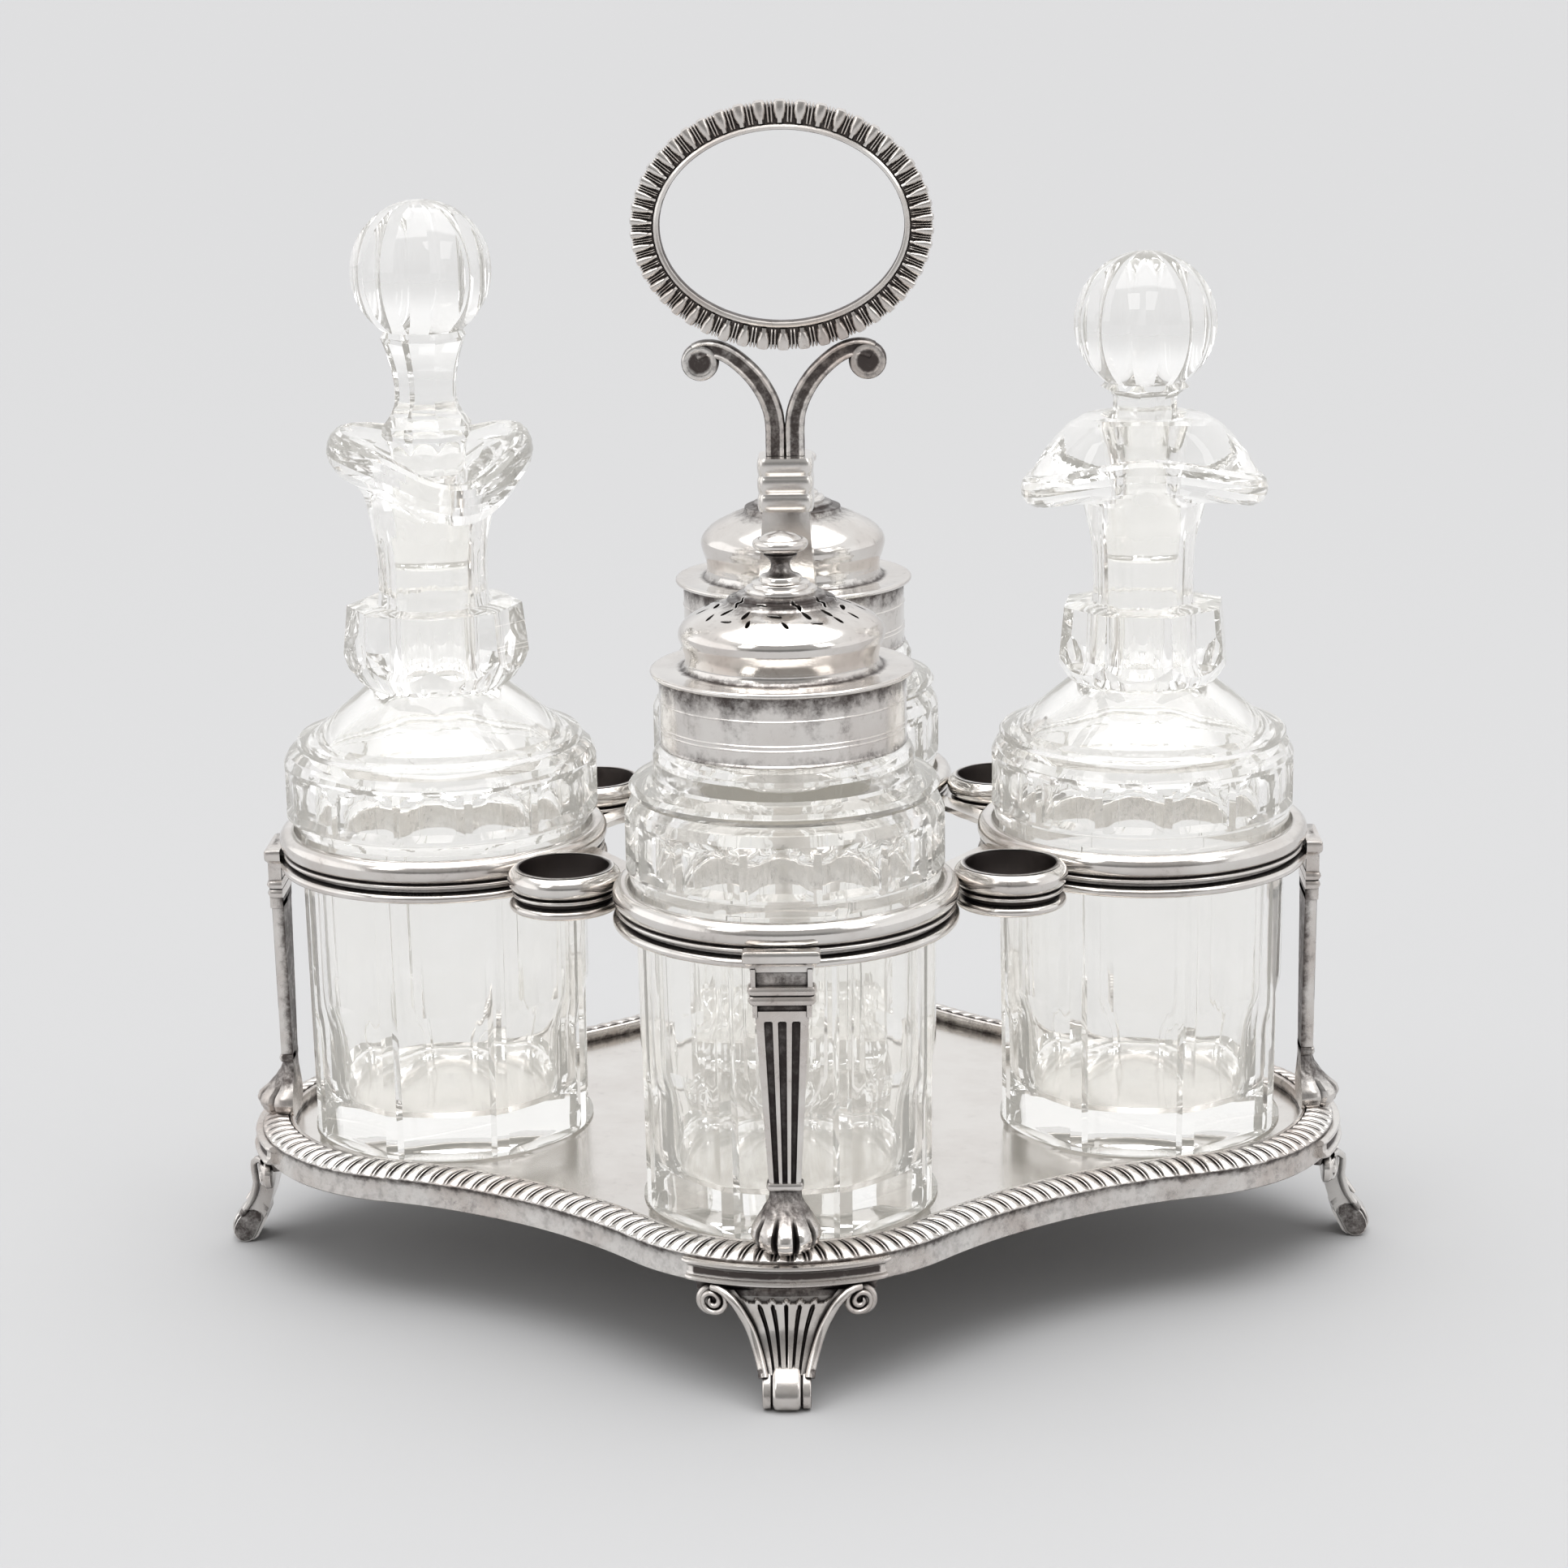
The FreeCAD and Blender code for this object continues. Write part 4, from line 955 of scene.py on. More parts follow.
def make_loop():
    """Oval loop: a plain inner rim, then tear-shaped lobes parted by pairs of thin ribs, on both faces."""
    centre = middle("handle_loop")
    half = half_size("handle_loop")
    angle_at = ellipse_table(half.x - 3.0, half.z - 3.0)
    rings = []
    for n in range(LOBES):
        for phase in LOBE_PHASES:
            angle = angle_at((n + phase) / LOBES)
            out = Vector((math.cos(angle) * half.z, 0.0, math.sin(angle) * half.x)).normalized()
            rim = Vector((math.cos(angle) * half.x, 0.0, math.sin(angle) * half.z))
            rings.append([centre + rim + out * r + Vector((0.0, y, 0.0))
                          for r, y in loop_section(phase, half.y)])
    piece("handle_loop_lobed", Shell(rings, loop=True), "stand", ["handle_loop"], SILVER_LOOP, 40.0,
          lambda p: 0.95 * smooth(0.70, 0.62, abs(p.y) / half.y) * smooth(0.50, 0.57, abs(p.y) / half.y))


def ellipse_table(a, b):
    """Angle parameter of an ellipse as a function of the share of its length."""
    steps = 720
    total = [0.0]
    for i in range(steps):
        t = TAU * (i + 0.5) / steps
        total.append(total[-1] + math.hypot(a * math.sin(t), b * math.cos(t)))

    def find(share):
        goal = (share % 1.0) * total[-1]
        lo, hi = 0, steps
        while hi - lo > 1:
            mid = (lo + hi) // 2
            if total[mid] <= goal:
                lo = mid
            else:
                hi = mid
        part = (goal - total[lo]) / (total[lo + 1] - total[lo])
        return TAU * (lo + part) / steps + math.pi / 2.0

    return find


def loop_section(phase, deep):
    """Closed section of the loop at one phase, as (distance from the outer rim, depth), front then back."""
    front = [(-6.05, -deep * 0.62), (-5.8, -deep * 0.84), (-5.35, -deep * 0.90), (-4.95, -deep * 0.82),
             (-4.75, -deep * 0.62)]
    count = 12
    outer = -1.15 + 1.15 * min(lobe_height(phase, 0.8) / 0.32, 1.0)
    for k in range(count + 1):
        t = k / count
        front.append((lerp(-4.6, outer - 0.30, t), -deep * 0.60 - lobe_height(phase, t) * deep))
    front.append((outer, -deep * 0.22))
    return front + [(r, -y) for r, y in reversed(front)]


def lobe_height(phase, t):
    """Relief of lobes and ribs in half depths of the loop, t from 0 at the inner rim to 1 at the edge."""
    wide = 0.18 + 0.14 * smooth(0.0, 0.70, t)
    if abs(phase) < wide:
        body = math.sqrt(max(1.0 - (phase / wide) ** 2, 0.0))
        return 0.41 * body ** 0.8 * math.sin(math.pi * min(0.22 + 0.62 * t, 0.84)) ** 0.4
    rib = 0.065
    for centre in (0.41, 0.59):
        if abs(phase - centre) < rib:
            return 0.28 * (1.0 - (abs(phase - centre) / rib) ** 2) ** 0.5 * smooth(-0.05, 0.15, t)
    return 0.0


# Glass: what all vessels share


BODY_PANELS = 8
BODY_RADIUS = 31.0
BODY_RIB = 1.35
BAND_PANELS = 14
BAND_RIB = 0.85
BODY_TOP = 94.0
BAND_LOW = 97.0


def fold(angle, count, turn):
    """Angle from the middle of the nearest of count equal panels."""
    period = TAU / count
    return (angle - turn + period / 2.0) % period - period / 2.0


def panel_angles(count, turn, rib, radius, parts):
    """Angles that fall on every panel edge, so that cuts stay crisp."""
    half = math.pi / count
    edge = half - rib / radius
    steps = [-half, -edge - 0.004, -edge]
    steps += [lerp(-edge, edge, k / parts) for k in range(1, parts)] + [edge, edge + 0.004]
    return [turn + TAU * n / count + s for n in range(count) for s in steps]


def vessel_angles(turn):
    """Angles that serve both the eight body panels and the fourteen band panels."""
    wanted = panel_angles(BODY_PANELS, turn, BODY_RIB, BODY_RADIUS, 14)
    wanted += panel_angles(BAND_PANELS, turn, BAND_RIB, 32.0, 6)
    wanted = sorted({round(a % TAU, 5) for a in wanted})
    kept = [wanted[0]]
    for a in wanted[1:]:
        if a - kept[-1] > 0.0035:
            kept.append(a)
    return kept


def body_radius(angle, radius, z, turn):
    """Lower body: eight tall panels, cut deeper below an arch at half height."""
    a = fold(angle, BODY_PANELS, turn)
    edge = math.pi / BODY_PANELS - BODY_RIB / radius
    if abs(a) >= edge:
        return radius
    u = a / edge
    upper = radius - 0.45 - 0.45 * (1.0 - u * u)
    start = FLOOR + 37.0
    lower = (radius - 2.5 * smooth(start, start - 12.0, z)) / math.cos(a)
    return min(radius, upper, lower)


def band_radius(angle, radius, z, turn):
    """Band: fourteen hollow flutes with arched tops."""
    a = fold(angle, BAND_PANELS, turn)
    edge = math.pi / BAND_PANELS - BAND_RIB / radius
    if abs(a) >= edge:
        return radius
    u = a / edge
    arch = 3.2 * u * u
    share = smooth(97.4, 99.2, z) * smooth(108.8 - arch, 106.6 - arch, z)
    return radius - 1.45 * share * (1.0 - u * u) ** 0.7


def vessel_start(band, turn):
    """Angles and rings of a vessel from the table up to the ledge, where band is the radius of its band."""
    base_rows = 3
    steps = 26
    rows = [(27.0, FLOOR + 0.25), (28.9, FLOOR + 0.02), (29.9, FLOOR + 0.5), (30.3, FLOOR + 1.4)]
    rows += [(lerp(30.4, BODY_RADIUS, i / steps), lerp(FLOOR + 2.0, BODY_TOP, i / steps))
             for i in range(steps + 1)]
    body_rows = len(rows)
    rows += [(BODY_RADIUS, BODY_TOP + 0.3), (band - 0.5, BAND_LOW - 0.6), (band, BAND_LOW)]
    rows += [(band, z) for z in (97.6, 98.2, 98.9, 99.6, 102.0, 103.4, 104.4, 105.2, 106.0, 106.8, 107.6,
                                 108.2)]
    rows += [(band - 0.35, 109.0), (band - 1.0, 110.2), (band - 1.9, 111.0), (band - 2.8, 111.5)]

    def shape(angle, radius, z, row):
        if base_rows <= row < body_rows:
            return body_radius(angle, radius, z, turn), z
        if z > BAND_LOW + 0.2:
            return band_radius(angle, radius, z, turn), z
        return radius, z

    angles = vessel_angles(turn)
    return angles, spun(rows, angles, shape)


def bottom_rows(inner):
    """Rows of the inside of a vessel's wall and thick bottom, downwards."""
    return [(inner, 70.0), (inner, FLOOR + 13.0), (inner - 0.6, FLOOR + 10.2), (inner - 2.4, FLOOR + 8.6),
            (21.0, FLOOR + 7.9), (14.0, FLOOR + 7.6), (5.0, FLOOR + 8.1), (0.8, FLOOR + 8.4)]


# Bottles


BOTTLE_INNER = 27.0
NECK_CUTS = 8
NECK_RING_HEIGHT = 17.1
PLUG_TOP = 176.0


def cone_rings(angles, turn):
    """Ledges and shoulder cone above the band; the cone turns slightly eight-sided near the neck."""
    rows = [(30.0, 111.7), (30.0, 112.6), (29.4, 113.2), (27.6, 113.5), (26.4, 113.9), (25.8, 114.4),
            (22.8, 116.9), (18.6, 120.4), (15.3, 123.2), (14.8, 123.8)]

    def shape(angle, radius, z, row):
        return radius + 0.12 * math.cos(NECK_CUTS * (angle - turn)) * smooth(116.0, 122.0, z), z

    return spun(rows, angles, shape)


def neck_ring_rings(angles, turn, neck, top, scale):
    """Neck ring: a fluted foot, and eight leaning facets above that meet it in a zigzag, then a flat top."""
    foot = top - NECK_RING_HEIGHT
    skirt = [(foot, 14.8), (foot + 1.5, 16.7), (foot + 4.2, 18.5), (foot + 8.6, 20.2), (foot + 14.0, 22.5)]

    def facet(angle, z):
        flat = lerp(18.6, 16.9, (z - foot) / NECK_RING_HEIGHT)
        return scale * flat / math.cos(fold(angle, NECK_CUTS, turn))

    meet = {}
    for angle in angles:
        z = foot + 1.0
        while scale * along(skirt, z) < facet(angle, z) and z < top - 1.0:
            z += 0.05
        meet[angle] = z
    rings = []
    for k in range(9):
        t = (k / 8.0) ** 1.3
        ring = []
        for angle in angles:
            z = lerp(foot, meet[angle], t)
            flute = 0.45 * abs(math.sin(12.0 * (angle - turn))) * math.sin(math.pi * min(t * 0.9 + 0.1, 1.0))
            ring.append(polar(scale * along(skirt, z) - flute, angle, z))
        rings.append(ring)
    for k in range(1, 8):
        heights = [(angle, lerp(meet[angle], top - 0.3, k / 7.0)) for angle in angles]
        rings.append([polar(facet(angle, z), angle, z) for angle, z in heights])
    for inset, rise in ((0.5, 0.15), (2.5, 0.45)):
        rings.append([polar(facet(angle, top) - inset, angle, top - 0.3 + rise) for angle in angles])
    rings.append([polar(neck, angle, top + 0.3) for angle in angles])
    return rings


def neck_rings(angles, turn, knots, start, end, top):
    """Neck along (height, radius) knots, with eight flat cuts that have arched tops."""
    steps = 14
    heights = [lerp(start, end, i / steps) for i in range(steps + 1)]

    def shape(angle, radius, z, row):
        a = fold(angle, NECK_CUTS, turn)
        share = smooth(top, top - 4.5, z + 60.0 * abs(a) ** 2)
        flat = radius * 0.965 / math.cos(a)
        return lerp(radius, min(flat, radius), share), z

    return spun([(along(knots, z), z) for z in heights], angles, shape)


def left_rim(angle):
    """Crest of the left bottle's lip as (radius, height): a curl at -X, a wide spout at +X with a dip."""
    c, s = math.cos(angle), math.sin(angle)
    spout = max(c, 0.0) ** 1.2
    curl = max(-c, 0.0) ** 2.0
    off = math.degrees(math.atan2(s, c)) + 55.0
    dip = 6.0 * math.exp(-(off / 36.0) ** 2)
    radius = 14.6 + 4.6 * spout + 4.0 * curl + 0.25 * dip
    height = 172.6 + 5.2 * abs(c) ** 1.5 + 2.0 * max(s, 0.0) - dip
    return radius, height


def right_rim(angle):
    """Crest of the right bottle's lip: two wide lobes that droop to each side."""
    c = abs(math.cos(angle))
    return 13.2 + 11.0 * c ** 1.8, 171.0 - 4.6 * c ** 3.0


def lip_point(angle, rim, radius, height, t, drop, inset=0.0, flare=0.0):
    """Point on the flare between a neck circle and the rim."""
    rim_radius, rim_height = rim(angle)
    r = radius + (rim_radius + inset - radius) * (1.0 - math.cos(t * math.pi / 2.0)) ** 0.9 + flare * t * t
    return polar(r, angle, height + (rim_height + drop - height) * math.sin(t * math.pi / 2.0))


def edge_rings(angles, rim, steps):
    """Rings over the lip's edge, each a (push outwards, rise) from the crest."""
    return [[polar(rim(a)[0] + push, a, rim(a)[1] + rise) for a in angles] for push, rise in steps]


def finish_bottle(side, angles, rings, mouth):
    """Adds the inside from the mouth down, and makes the piece on the axis of its stopper."""
    rows = [(8.1, mouth - 0.2), (7.95, mouth - 1.0), (7.2, 150.0), (7.16, 149.0), (7.15, 127.0), (8.2, 124.6),
            (9.6, 121.6), (13.5, 118.4), (18.6, 114.6), (23.0, 110.6), (BOTTLE_INNER - 0.6, 106.4),
            (BOTTLE_INNER, 102.0)]
    rings += spun(rows + bottom_rows(BOTTLE_INNER), angles)
    axis = middle(f"stopper_{side}").x
    piece(f"bottle_{side}_cut", Shell(rings).place(axis, 0.0), f"bottle_{side}", [f"bottle_{side}_glass"],
          CRYSTAL, 14.0)


def make_left_bottle():
    turn = math.radians(-90.0 + 3.5)
    angles, rings = vessel_start(32.9, turn)
    rings += cone_rings(angles, turn)
    rings += neck_ring_rings(angles, turn + math.pi / NECK_CUTS, 12.1, 141.0, 1.0)
    knots = [(142.0, 12.0), (144.0, 11.6), (150.0, 11.6), (155.0, 12.0), (160.0, 12.9)]
    rings += neck_rings(angles, turn, knots, 142.2, 160.0, 158.5)
    for t in (0.2, 0.4, 0.6, 0.8, 0.95):
        rings.append([lip_point(a, left_rim, 12.9, 159.6, t, -8.4, flare=1.2) for a in angles])
    rings += edge_rings(angles, left_rim, ((1.2, -7.6), (2.1, -6.2), (2.5, -4.4), (2.2, -2.6), (1.5, -1.1),
                                           (0.5, -0.2), (-0.6, 0.0), (-1.7, -0.5)))
    for t in (0.75, 0.5, 0.25):
        rings.append([lip_point(a, left_rim, 9.0, 169.4, t, -1.6, inset=-2.4) for a in angles])
    finish_bottle("left", angles, rings, 169.0)


def make_right_bottle():
    turn = math.radians(-90.0 - 7.0)
    angles, rings = vessel_start(31.6, turn)
    rings += cone_rings(angles, turn)
    rings += neck_ring_rings(angles, turn, 11.0, 139.6, 0.945)
    knots = [(140.0, 10.9), (143.0, 10.6), (150.0, 10.8), (155.0, 11.4), (162.0, 13.0)]
    rings += neck_rings(angles, turn, knots, 140.2, 161.0, 158.0)
    for t in (0.25, 0.5, 0.75, 0.92):
        rings.append([lip_point(a, right_rim, 13.0, 161.0, t, -6.4) for a in angles])
    rings += edge_rings(angles, right_rim, ((0.3, -5.6), (1.1, -4.2), (1.3, -2.6), (0.9, -1.1), (0.1, -0.2),
                                            (-0.8, 0.2)))
    for t in (0.8, 0.6, 0.4, 0.2, 0.0):
        ring = []
        for a in angles:
            rim_radius, rim_height = right_rim(a)
            z = lerp(178.6, rim_height + 0.6, t ** 1.5) + 1.2 * math.sin(t * math.pi)
            ring.append(polar(lerp(10.6, rim_radius - 0.8, t), a, z))
        rings.append(ring)
    rings.append([polar(9.0, a, 178.7) for a in angles])
    finish_bottle("right", angles, rings, 178.4)


# Stoppers


BALL_RADIUS = 14.6
BALL_CUTS = 12
WAIST_CUTS = 8
WAIST_FLAT = 0.962725


def make_stopper(side, ball, flare, flare_radius, turn):
    """Ball with lens cuts, an eight-sided waist and flare, and a plain ground plug."""
    node = f"stopper_{side}"
    plug = [(6.4, 149.0), (7.1, 149.6), (7.8, PLUG_TOP - 3.0)]
    rim = flare_radius * 0.97
    waist = flare + 6.0 if ball - flare > 25.0 else flare + 3.0
    stem = [(flare_radius * 0.9, flare - 2.6), (flare_radius, flare - 1.4), (rim, flare + 0.4)]
    stem += [(6.3 + (rim - 6.3) * (1.0 - t) ** 1.8, lerp(flare + 0.4, waist, t))
             for t in (0.2, 0.4, 0.6, 0.8, 1.0)]
    stem += [(6.2 + 2.6 * t * t, lerp(waist, ball - 13.2, t)) for t in (0.25, 0.5, 0.75, 1.0)]
    globe = arc((0.0, ball), BALL_RADIUS, -62.0, 88.5, 24)[1:]

    def shape(angle, radius, z, row):
        if row < len(plug):
            return radius, z
        if row < len(plug) + len(stem):
            return radius * WAIST_FLAT / math.cos(fold(angle, WAIST_CUTS, turn)), z
        up = (z - ball) / BALL_RADIUS
        u = abs(fold(angle, BALL_CUTS, turn)) / (math.pi / BALL_CUTS)
        depth = 0.95 * (1.0 - u * u) * max(1.0 - abs(up - 0.05) ** 2.4, 0.0)
        return max(radius - depth * (0.35 + 0.65 * radius / BALL_RADIUS), 0.2), z

    shell = Shell(spun(plug + stem + globe, [a + turn for a in around(144)], shape))
    spot = middle(node)
    piece(f"{node}_cut", shell.place(spot.x, spot.y), node, [node], CRYSTAL, 12.0)


# Casters


def make_caster(place):
    y = STATIONS[place][1]
    angles, rings = vessel_start(31.8, math.radians(-90.0))
    rows = [(29.9, 111.8), (30.6, 112.6), (30.9, 113.4), (30.2, 114.4), (27.6, 114.8), (26.2, 115.1),
            (25.9, 115.8), (25.9, 119.6), (25.3, 120.9), (24.2, 121.6), (22.1, 121.7), (22.0, 122.4),
            (22.0, 127.2), (21.6, 127.6), (19.6, 127.6), (19.2, 127.2), (19.2, 117.4), (20.4, 115.6),
            (23.6, 112.4), (26.6, 109.6), (27.2, 106.0)]
    rings += spun(rows + bottom_rows(27.2), angles)
    piece(f"caster_{place}_cut", Shell(rings).place(0.0, y), f"caster_{place}", [f"caster_{place}_glass"],
          CRYSTAL, 14.0)
    make_collar(place, y)
    make_lid(place, y)


def make_collar(place, y):
    """Plain collar with three engraved lines and a rolled lower edge."""
    node = f"caster_{place}_collar"
    z0, z1 = low(node).z, high(node).z
    outer = half_size(node).x - 0.25
    inner = outer - 0.8
    loop = [(inner, z0), (outer + 0.1, z0 - 0.02), (outer + 0.28, z0 + 0.25), (outer + 0.1, z0 + 0.5),
            (outer, z0 + 0.6)]
    for line in (3.4, 4.3, 9.2):
        loop += [(outer + swell, z0 + line + away) for swell, away in
                 ((0.0, -0.22), (0.16, -0.12), (0.18, 0.0), (0.10, 0.12), (0.0, 0.22))]
    loop += [(outer, z1), (inner, z1)]
    shell = Shell(spun(loop, around(160), dented(0.06, 5.0)), loop=True)
    piece(f"{node}_banded", shell.place(0.0, y), f"caster_{place}", [node], SILVER_SHEET, 34.0,
          lambda p: collar_tarnish_and_painted_reflection(math.atan2(p.y - y, p.x), z1 - p.z, p.z - z0))


def collar_tarnish_and_painted_reflection(angle, below, above):
    """Tarnish under the lid's flange and along the foot of the collar, and painted reflection in upright dark
    streaks.
    """
    # Painted reflection: dark upright streaks round the collar stand for the room mirrored in its side.
    painted_reflection_streak = 0.5 * noise.noise(Vector((math.cos(angle) * 5.0, math.sin(angle) * 5.0, 0.0))) + 0.30
    edge = 0.90 * smooth(2.6, 0.3, below) + 0.6 * smooth(2.0, 0.2, above)
    return max(edge, painted_reflection_streak * smooth(0.0, 4.0, below) * smooth(14.0, 7.0, below))


# Side of the lid's dome, as (radius, height above the flange) for a crown 16 mm above it
DOME = [(19.05, 2.6), (19.2, 4.2), (19.9, 6.0), (20.35, 7.6), (20.1, 9.0), (18.9, 10.4), (17.1, 11.5),
        (14.2, 12.8), (11.0, 13.9)]
DOME_CROWN = 16.0


def lid_section(z0, flange, crown):
    """Closed section of a lid: sleeve, rolled flange, dome and crown outside, then the inside."""
    rise = (crown - flange) / DOME_CROWN
    loop = [(22.75, z0), (23.5, z0), (23.55, z0 + 0.3), (23.55, flange + 0.02), (25.3, flange + 0.02)]
    loop += arc((25.55, flange + 0.55), 0.53, -85, 92, 8)
    loop += [(24.6, flange + 0.98), (21.6, flange + 0.95), (19.9, flange + 1.15), (19.3, flange + 1.7)]
    loop += [(r, flange + z * rise) for r, z in curve_through(DOME, 4)]
    steps = [(10.7, 1.75), (10.6, 1.35), (10.1, 1.15), (9.3, 1.15), (8.9, 0.95), (8.8, 0.5), (8.3, 0.25),
             (7.6, 0.2), (7.0, 0.0), (3.0, 0.0), (0.5, 0.0)]
    loop += [(r, crown - depth) for r, depth in steps]
    loop += [(0.5, crown - 2.2), (9.0, crown - 2.7)]
    loop += [(r - 0.8, flange + z * rise - 0.75 * smooth(20.0, 11.0, r)) for r, z in reversed(DOME)]
    return loop + [(18.3, flange + 1.2), (19.6, flange + 0.3), (22.0, flange + 0.1), (22.75, flange - 0.4)]


def lid_soot(y, flange, crown):
    """Oxide towards the crown, in the corner between flange and dome, and all over the inside."""
    rise = (crown - flange) / DOME_CROWN
    heights = [(z, r) for r, z in DOME]

    def oxide_and_painted_shade(p):
        reach = math.hypot(p.x, p.y - y)
        height = (p.z - flange) / rise
        dome = along(heights, height) if height > DOME[0][1] else 0.0
        top = 0.70 * smooth(17.5, 10.0, reach) * (1.0 if p.z > flange + 3.0 else 0.0)
        corner = 0.90 * smooth(1.8, 0.0, abs(reach - 19.8)) * smooth(flange + 3.2, flange + 1.0, p.z)
        inside = 0.9 if p.z < crown - 0.4 and reach < dome - 0.4 else 0.0
        return max(top, corner, inside)

    return oxide_and_painted_shade


def make_lid(place, y):
    """Domed lid over a flange and sleeve; the front one is pierced."""
    node = f"caster_{place}_lid"
    z0, crown = low(node).z, high(node).z
    flange = high(f"caster_{place}_collar").z
    seed = 9.0 if place == "front" else 4.0
    shell = Shell(spun(lid_section(z0, flange, crown), around(144), dented(0.14, seed)), loop=True)
    lid = piece(f"{node}_domed", shell.place(0.0, y), f"lid_{place}", [node], SILVER_SHEET, 36.0,
                lid_soot(y, flange, crown))
    if place == "front":
        pierce(lid, y, crown)
    make_finial(place, y, crown)


def pierce(lid, y, crown):
    """Cuts small leaf-shaped holes, in three staggered rings, through the dome."""
    cutter = Shell()
    for reach, count, start, long, wide in (
        (9.6, 10, 0.0, 1.5, 0.5),
        (12.6, 14, 9.0, 1.6, 0.55),
        (15.4, 16, 3.0, 1.3, 0.45),
    ):
        for n in range(count):
            angle = TAU * n / count + math.radians(start) + random.uniform(-0.07, 0.07)
            tilt = angle + random.uniform(-0.5, 0.5) + (math.pi / 2.0 if n % 3 == 1 else 0.0)
            hub = Vector(polar(reach, angle, 0.0)) + Vector((0.0, y, 0.0))
            leaf = [Vector((long * math.cos(t), wide * math.sin(t) * (1.0 + 0.3 * math.cos(t)), 0.0))
                    for t in around(12)]
            ring = [hub + Matrix.Rotation(tilt, 3, "Z") @ spot for spot in leaf]
            cutter.skin([[p + Vector((0.0, 0.0, crown + dz)) for p in ring] for dz in (-6.5, 3.0)])
    tool = linked("piercing", mesh_of("piercing", cutter))
    cut = lid.modifiers.new("holes", "BOOLEAN")
    cut.operation = "DIFFERENCE"
    cut.solver = "MANIFOLD"
    cut.object = tool
    bpy.context.view_layer.update()
    done = bpy.data.meshes.new_from_object(lid.evaluated_get(bpy.context.evaluated_depsgraph_get()))
    lid.modifiers.clear()
    lid.data = done
    bpy.data.objects.remove(tool)


def make_finial(place, y, crown):
    """Turned finial: a moulded foot, a thin neck with a bead and a flat knob."""
    node = f"caster_{place}_finial"
    top = high(node).z - crown
    rows = [(7.0, -0.3), (7.1, 0.1), (7.1, 0.55), (6.85, 0.9), (6.3, 1.0), (5.9, 1.1), (5.75, 1.35),
            (5.7, 1.75), (5.4, 2.0), (4.8, 2.05), (4.35, 2.2), (4.25, 2.5), (4.15, 2.95), (3.8, 3.25),
            (3.0, 3.45), (2.35, 3.9), (1.95, 4.6), (1.85, 5.4), (2.1, 6.2), (2.7, 6.8), (3.2, 7.05),
            (3.3, 7.35), (3.1, 7.6), (3.6, 7.85), (4.7, 8.25), (5.3, 8.8), (5.5, 9.4), (5.35, 10.0),
            (4.9, 10.35), (4.3, 10.45), (4.15, 10.4), (3.9, 10.6), (3.0, 11.2), (1.8, 11.6),
            (0.8, top - 0.35)]
    shell = Shell(spun(rows, around(72)))
    piece(f"{node}_turned", shell.place(0.0, y, crown), f"lid_{place}", [node], SILVER, 40.0,
          lambda p: 0.75 * smooth(2.6, 3.6, p.z - crown) * smooth(8.4, 7.4, p.z - crown))


# Carried-over nodes


def finish_cad_nodes():
    """Pieces whose solid shape is right keep it, with their own material; straps and stem get soft edges."""
    softened = {f"ring_strap_{place}": SILVER for place in CORNERS}
    softened["stem_column"] = SILVER
    plain = {"tray_plate": SILVER_PLATE, "stem_stud": BRASS, "stem_washer": BRASS, "stem_nut": BRASS,
             "caster_front_cement": PLASTER, "caster_back_cement": PLASTER}
    for node, material in {**plain, **softened}.items():
        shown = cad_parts[node]
        shown.data.materials.clear()
        shown.data.materials.append(material)
        if node in softened:
            soft = shown.modifiers.new("edges", "BEVEL")
            soft.width = 0.35 * MM
            soft.segments = 3
            soft.limit_method = "ANGLE"
            soft.angle_limit = math.radians(35.0)


# Studio, in metres


def make_floor():
    """Pale paper that reaches far past the picture."""
    reach = 80.0
    mesh = bpy.data.meshes.new("floor")
    mesh.from_pydata([(-reach, -reach, 0), (reach, -reach, 0), (reach, reach, 0), (-reach, reach, 0)], [],
                     [(0, 1, 2, 3)])
    material, tree, shader = node_tree("paper")
    wire(tree, shader, {"Base Color": (0.405, 0.405, 0.409, 1.0), "Roughness": 0.9,
                        "Specular IOR Level": 0.1})
    mesh.materials.append(material)
    linked("floor", mesh)


def make_world():
    """A pale room: dim before the set, bright panels at both sides and a soft light overhead."""
    world = bpy.data.worlds.new("studio")
    bpy.context.scene.world = world
    world.use_nodes = True
    tree = world.node_tree
    tree.nodes.clear()
    way = add(tree, "ShaderNodeTexCoord", {}).outputs["Generated"]
    x, y, z = add(tree, "ShaderNodeSeparateXYZ", {0: way}).outputs
    room = mixed(tree, span(tree, z, 0.35, 0.0), (0.98, 0.98, 0.985), (0.74, 0.74, 0.745))
    ahead = span(tree, y, -0.15, -0.60)
    low_ahead = calc(tree, "MULTIPLY", span(tree, y, -0.72, -0.90), span(tree, z, 0.42, 0.22))
    leftward = calc(tree, "MULTIPLY", span(tree, x, -0.72, -0.80), span(tree, z, 0.62, 0.52))
    rightward = calc(tree, "MULTIPLY", span(tree, x, 0.78, 0.86), span(tree, z, 0.55, 0.45))
    overhead = span(tree, z, 0.78, 0.84)
    for share, tone in (
        (ahead, (0.46, 0.455, 0.45)),
        (low_ahead, (0.24, 0.24, 0.24)),
        (leftward, (1.35, 1.35, 1.36)),
        (rightward, (1.05, 1.05, 1.06)),
        (overhead, (3.6, 3.6, 3.6)),
    ):
        room = mixed(tree, share, room, tone)
    light = add(tree, "ShaderNodeBackground", {"Color": room, "Strength": 1.0})
    add(tree, "ShaderNodeOutputWorld", {"Surface": light.outputs[0]})


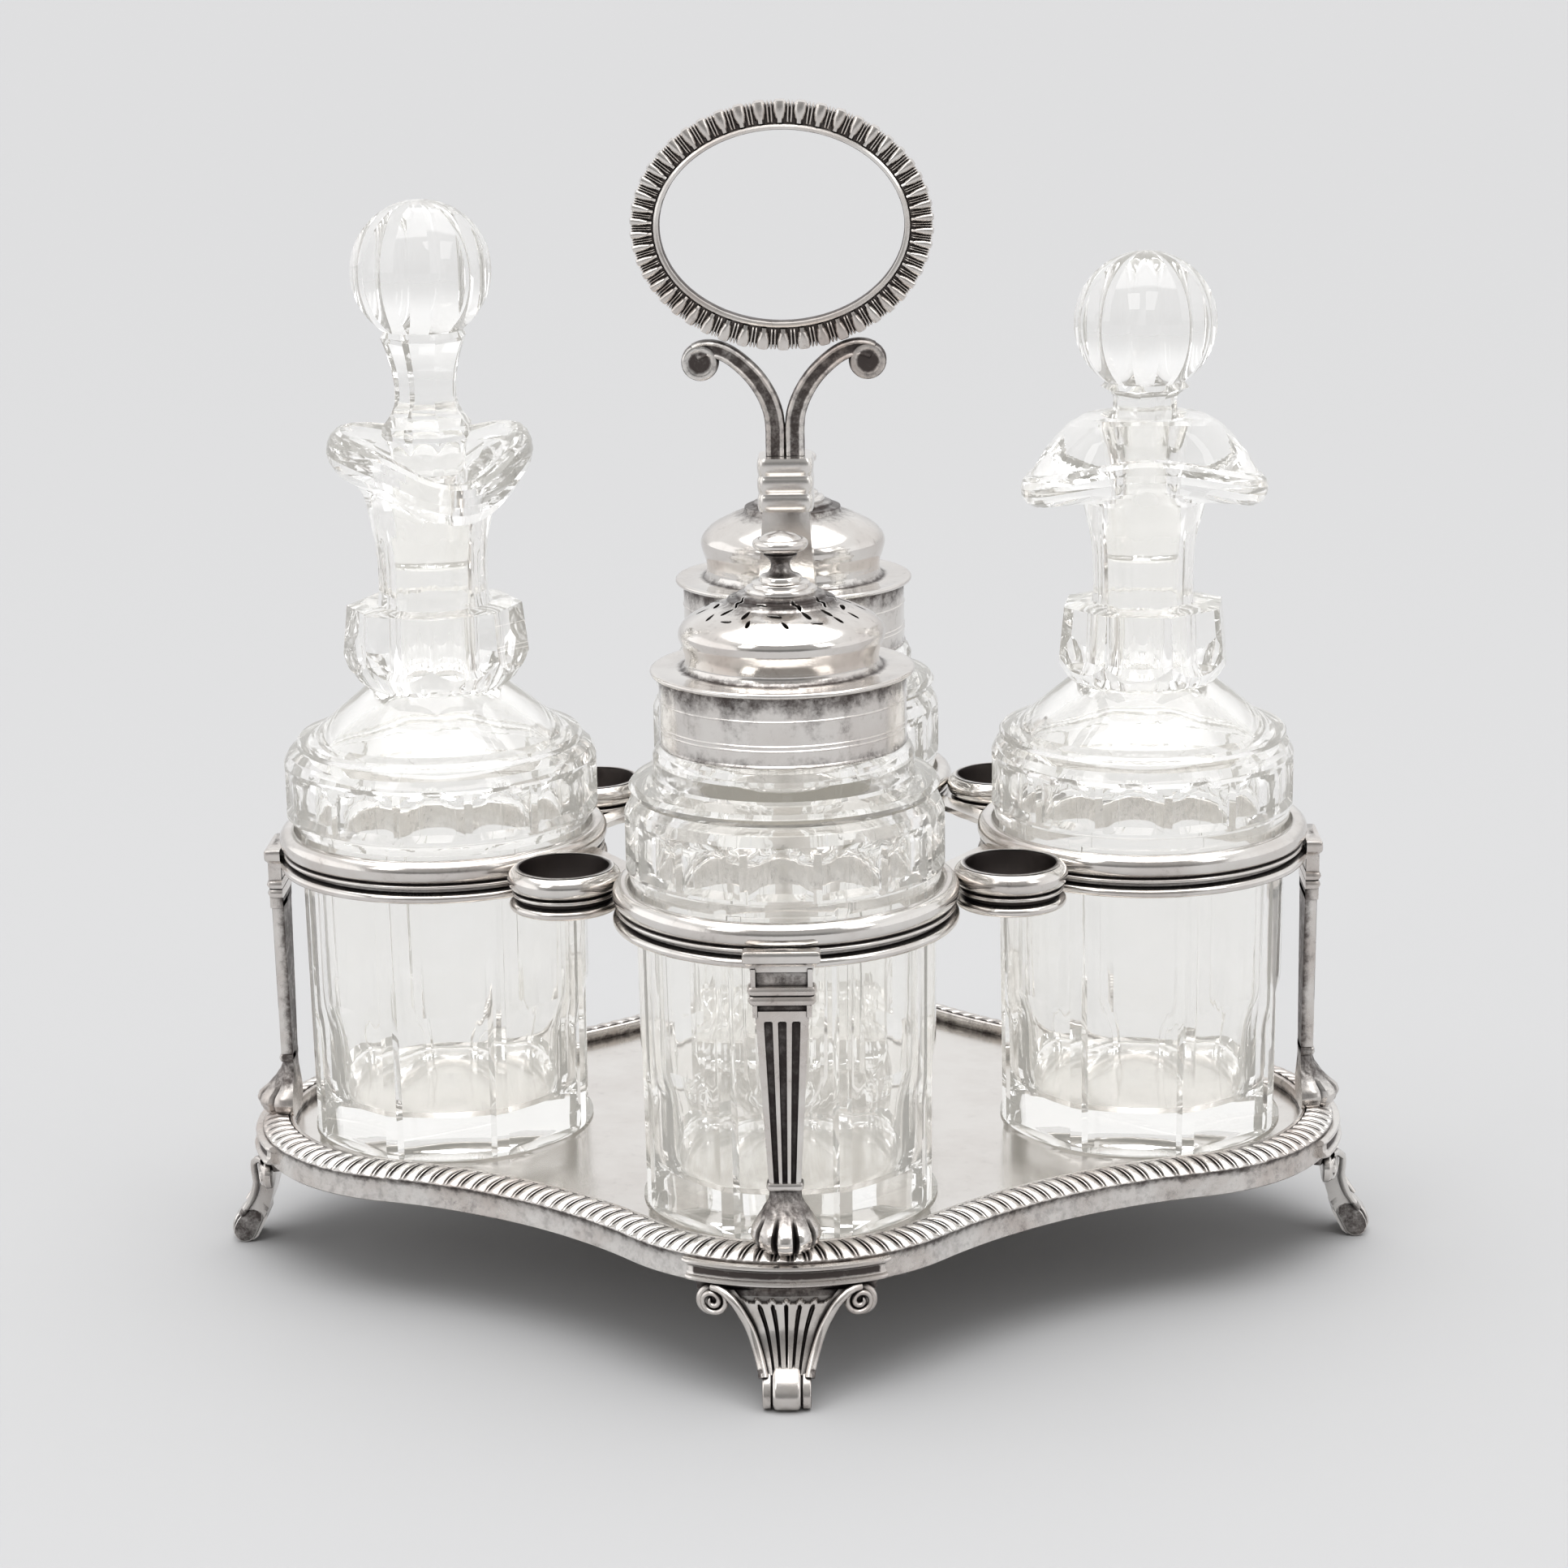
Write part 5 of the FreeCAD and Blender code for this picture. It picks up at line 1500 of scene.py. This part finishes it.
def make_lamps():
    """Two soft boxes, to the left and right in front of the set and above it."""
    aim = Vector((0.0, 0.0, 0.12))
    for name, spot, power in (("key", (-0.8, -0.9, 1.0), 2.0), ("fill", (0.9, -0.7, 0.9), 1.5)):
        lamp = bpy.data.lights.new(name, "AREA")
        lamp.shape = "RECTANGLE"
        lamp.size, lamp.size_y = 0.4, 0.6
        lamp.energy = power
        holder = linked(name, lamp)
        holder.location = spot
        holder.rotation_euler = (aim - Vector(spot)).to_track_quat("-Z", "Y").to_euler()


def make_camera():
    """Camera fitted to the set: 0.74 m away, looking down by 14.4 degrees."""
    distance, height = 0.7364136, 0.2901681
    sideways = -0.001457
    pitch, heading, roll = 0.2515, -0.0311, 0.0171
    focal = 4430.55
    picture = 1932.0
    data = bpy.data.cameras.new("camera")
    data.sensor_width = 36.0
    data.lens = focal * data.sensor_width / picture
    data.clip_start, data.clip_end = 0.01, 200.0
    camera = linked("camera", data)
    forward = Vector((0.0, math.cos(pitch), -math.sin(pitch)))
    up = Vector((0.0, math.sin(pitch), math.cos(pitch)))
    right = Vector((1.0, 0.0, 0.0))
    across = right * math.cos(roll) - up * math.sin(roll)
    above = up * math.cos(roll) + right * math.sin(roll)
    turn = Matrix.Rotation(-heading, 3, "Z")
    axes = Matrix((turn @ across, turn @ above, turn @ -forward)).transposed()
    camera.matrix_world = Matrix.Translation(turn @ Vector((sideways, -distance, height))) @ axes.to_4x4()
    bpy.context.scene.camera = camera


bpy.context.scene.view_settings.view_transform = "Standard"
bpy.context.scene.cycles.max_bounces = 24
bpy.context.scene.cycles.transmission_bounces = 24
make_camera()
make_floor()
make_world()
make_lamps()
make_border()
make_rings()
make_pilasters()
make_feet()
make_stem_collar()
make_arms()
make_loop()
make_left_bottle()
make_right_bottle()
make_stopper("left", 210.0, 178.2, 9.4, 0.0)
make_stopper("right", 197.6, 178.9, 6.6, math.radians(11.0))
make_caster("front")
make_caster("back")
finish_cad_nodes()

bpy.context.view_layer.update()
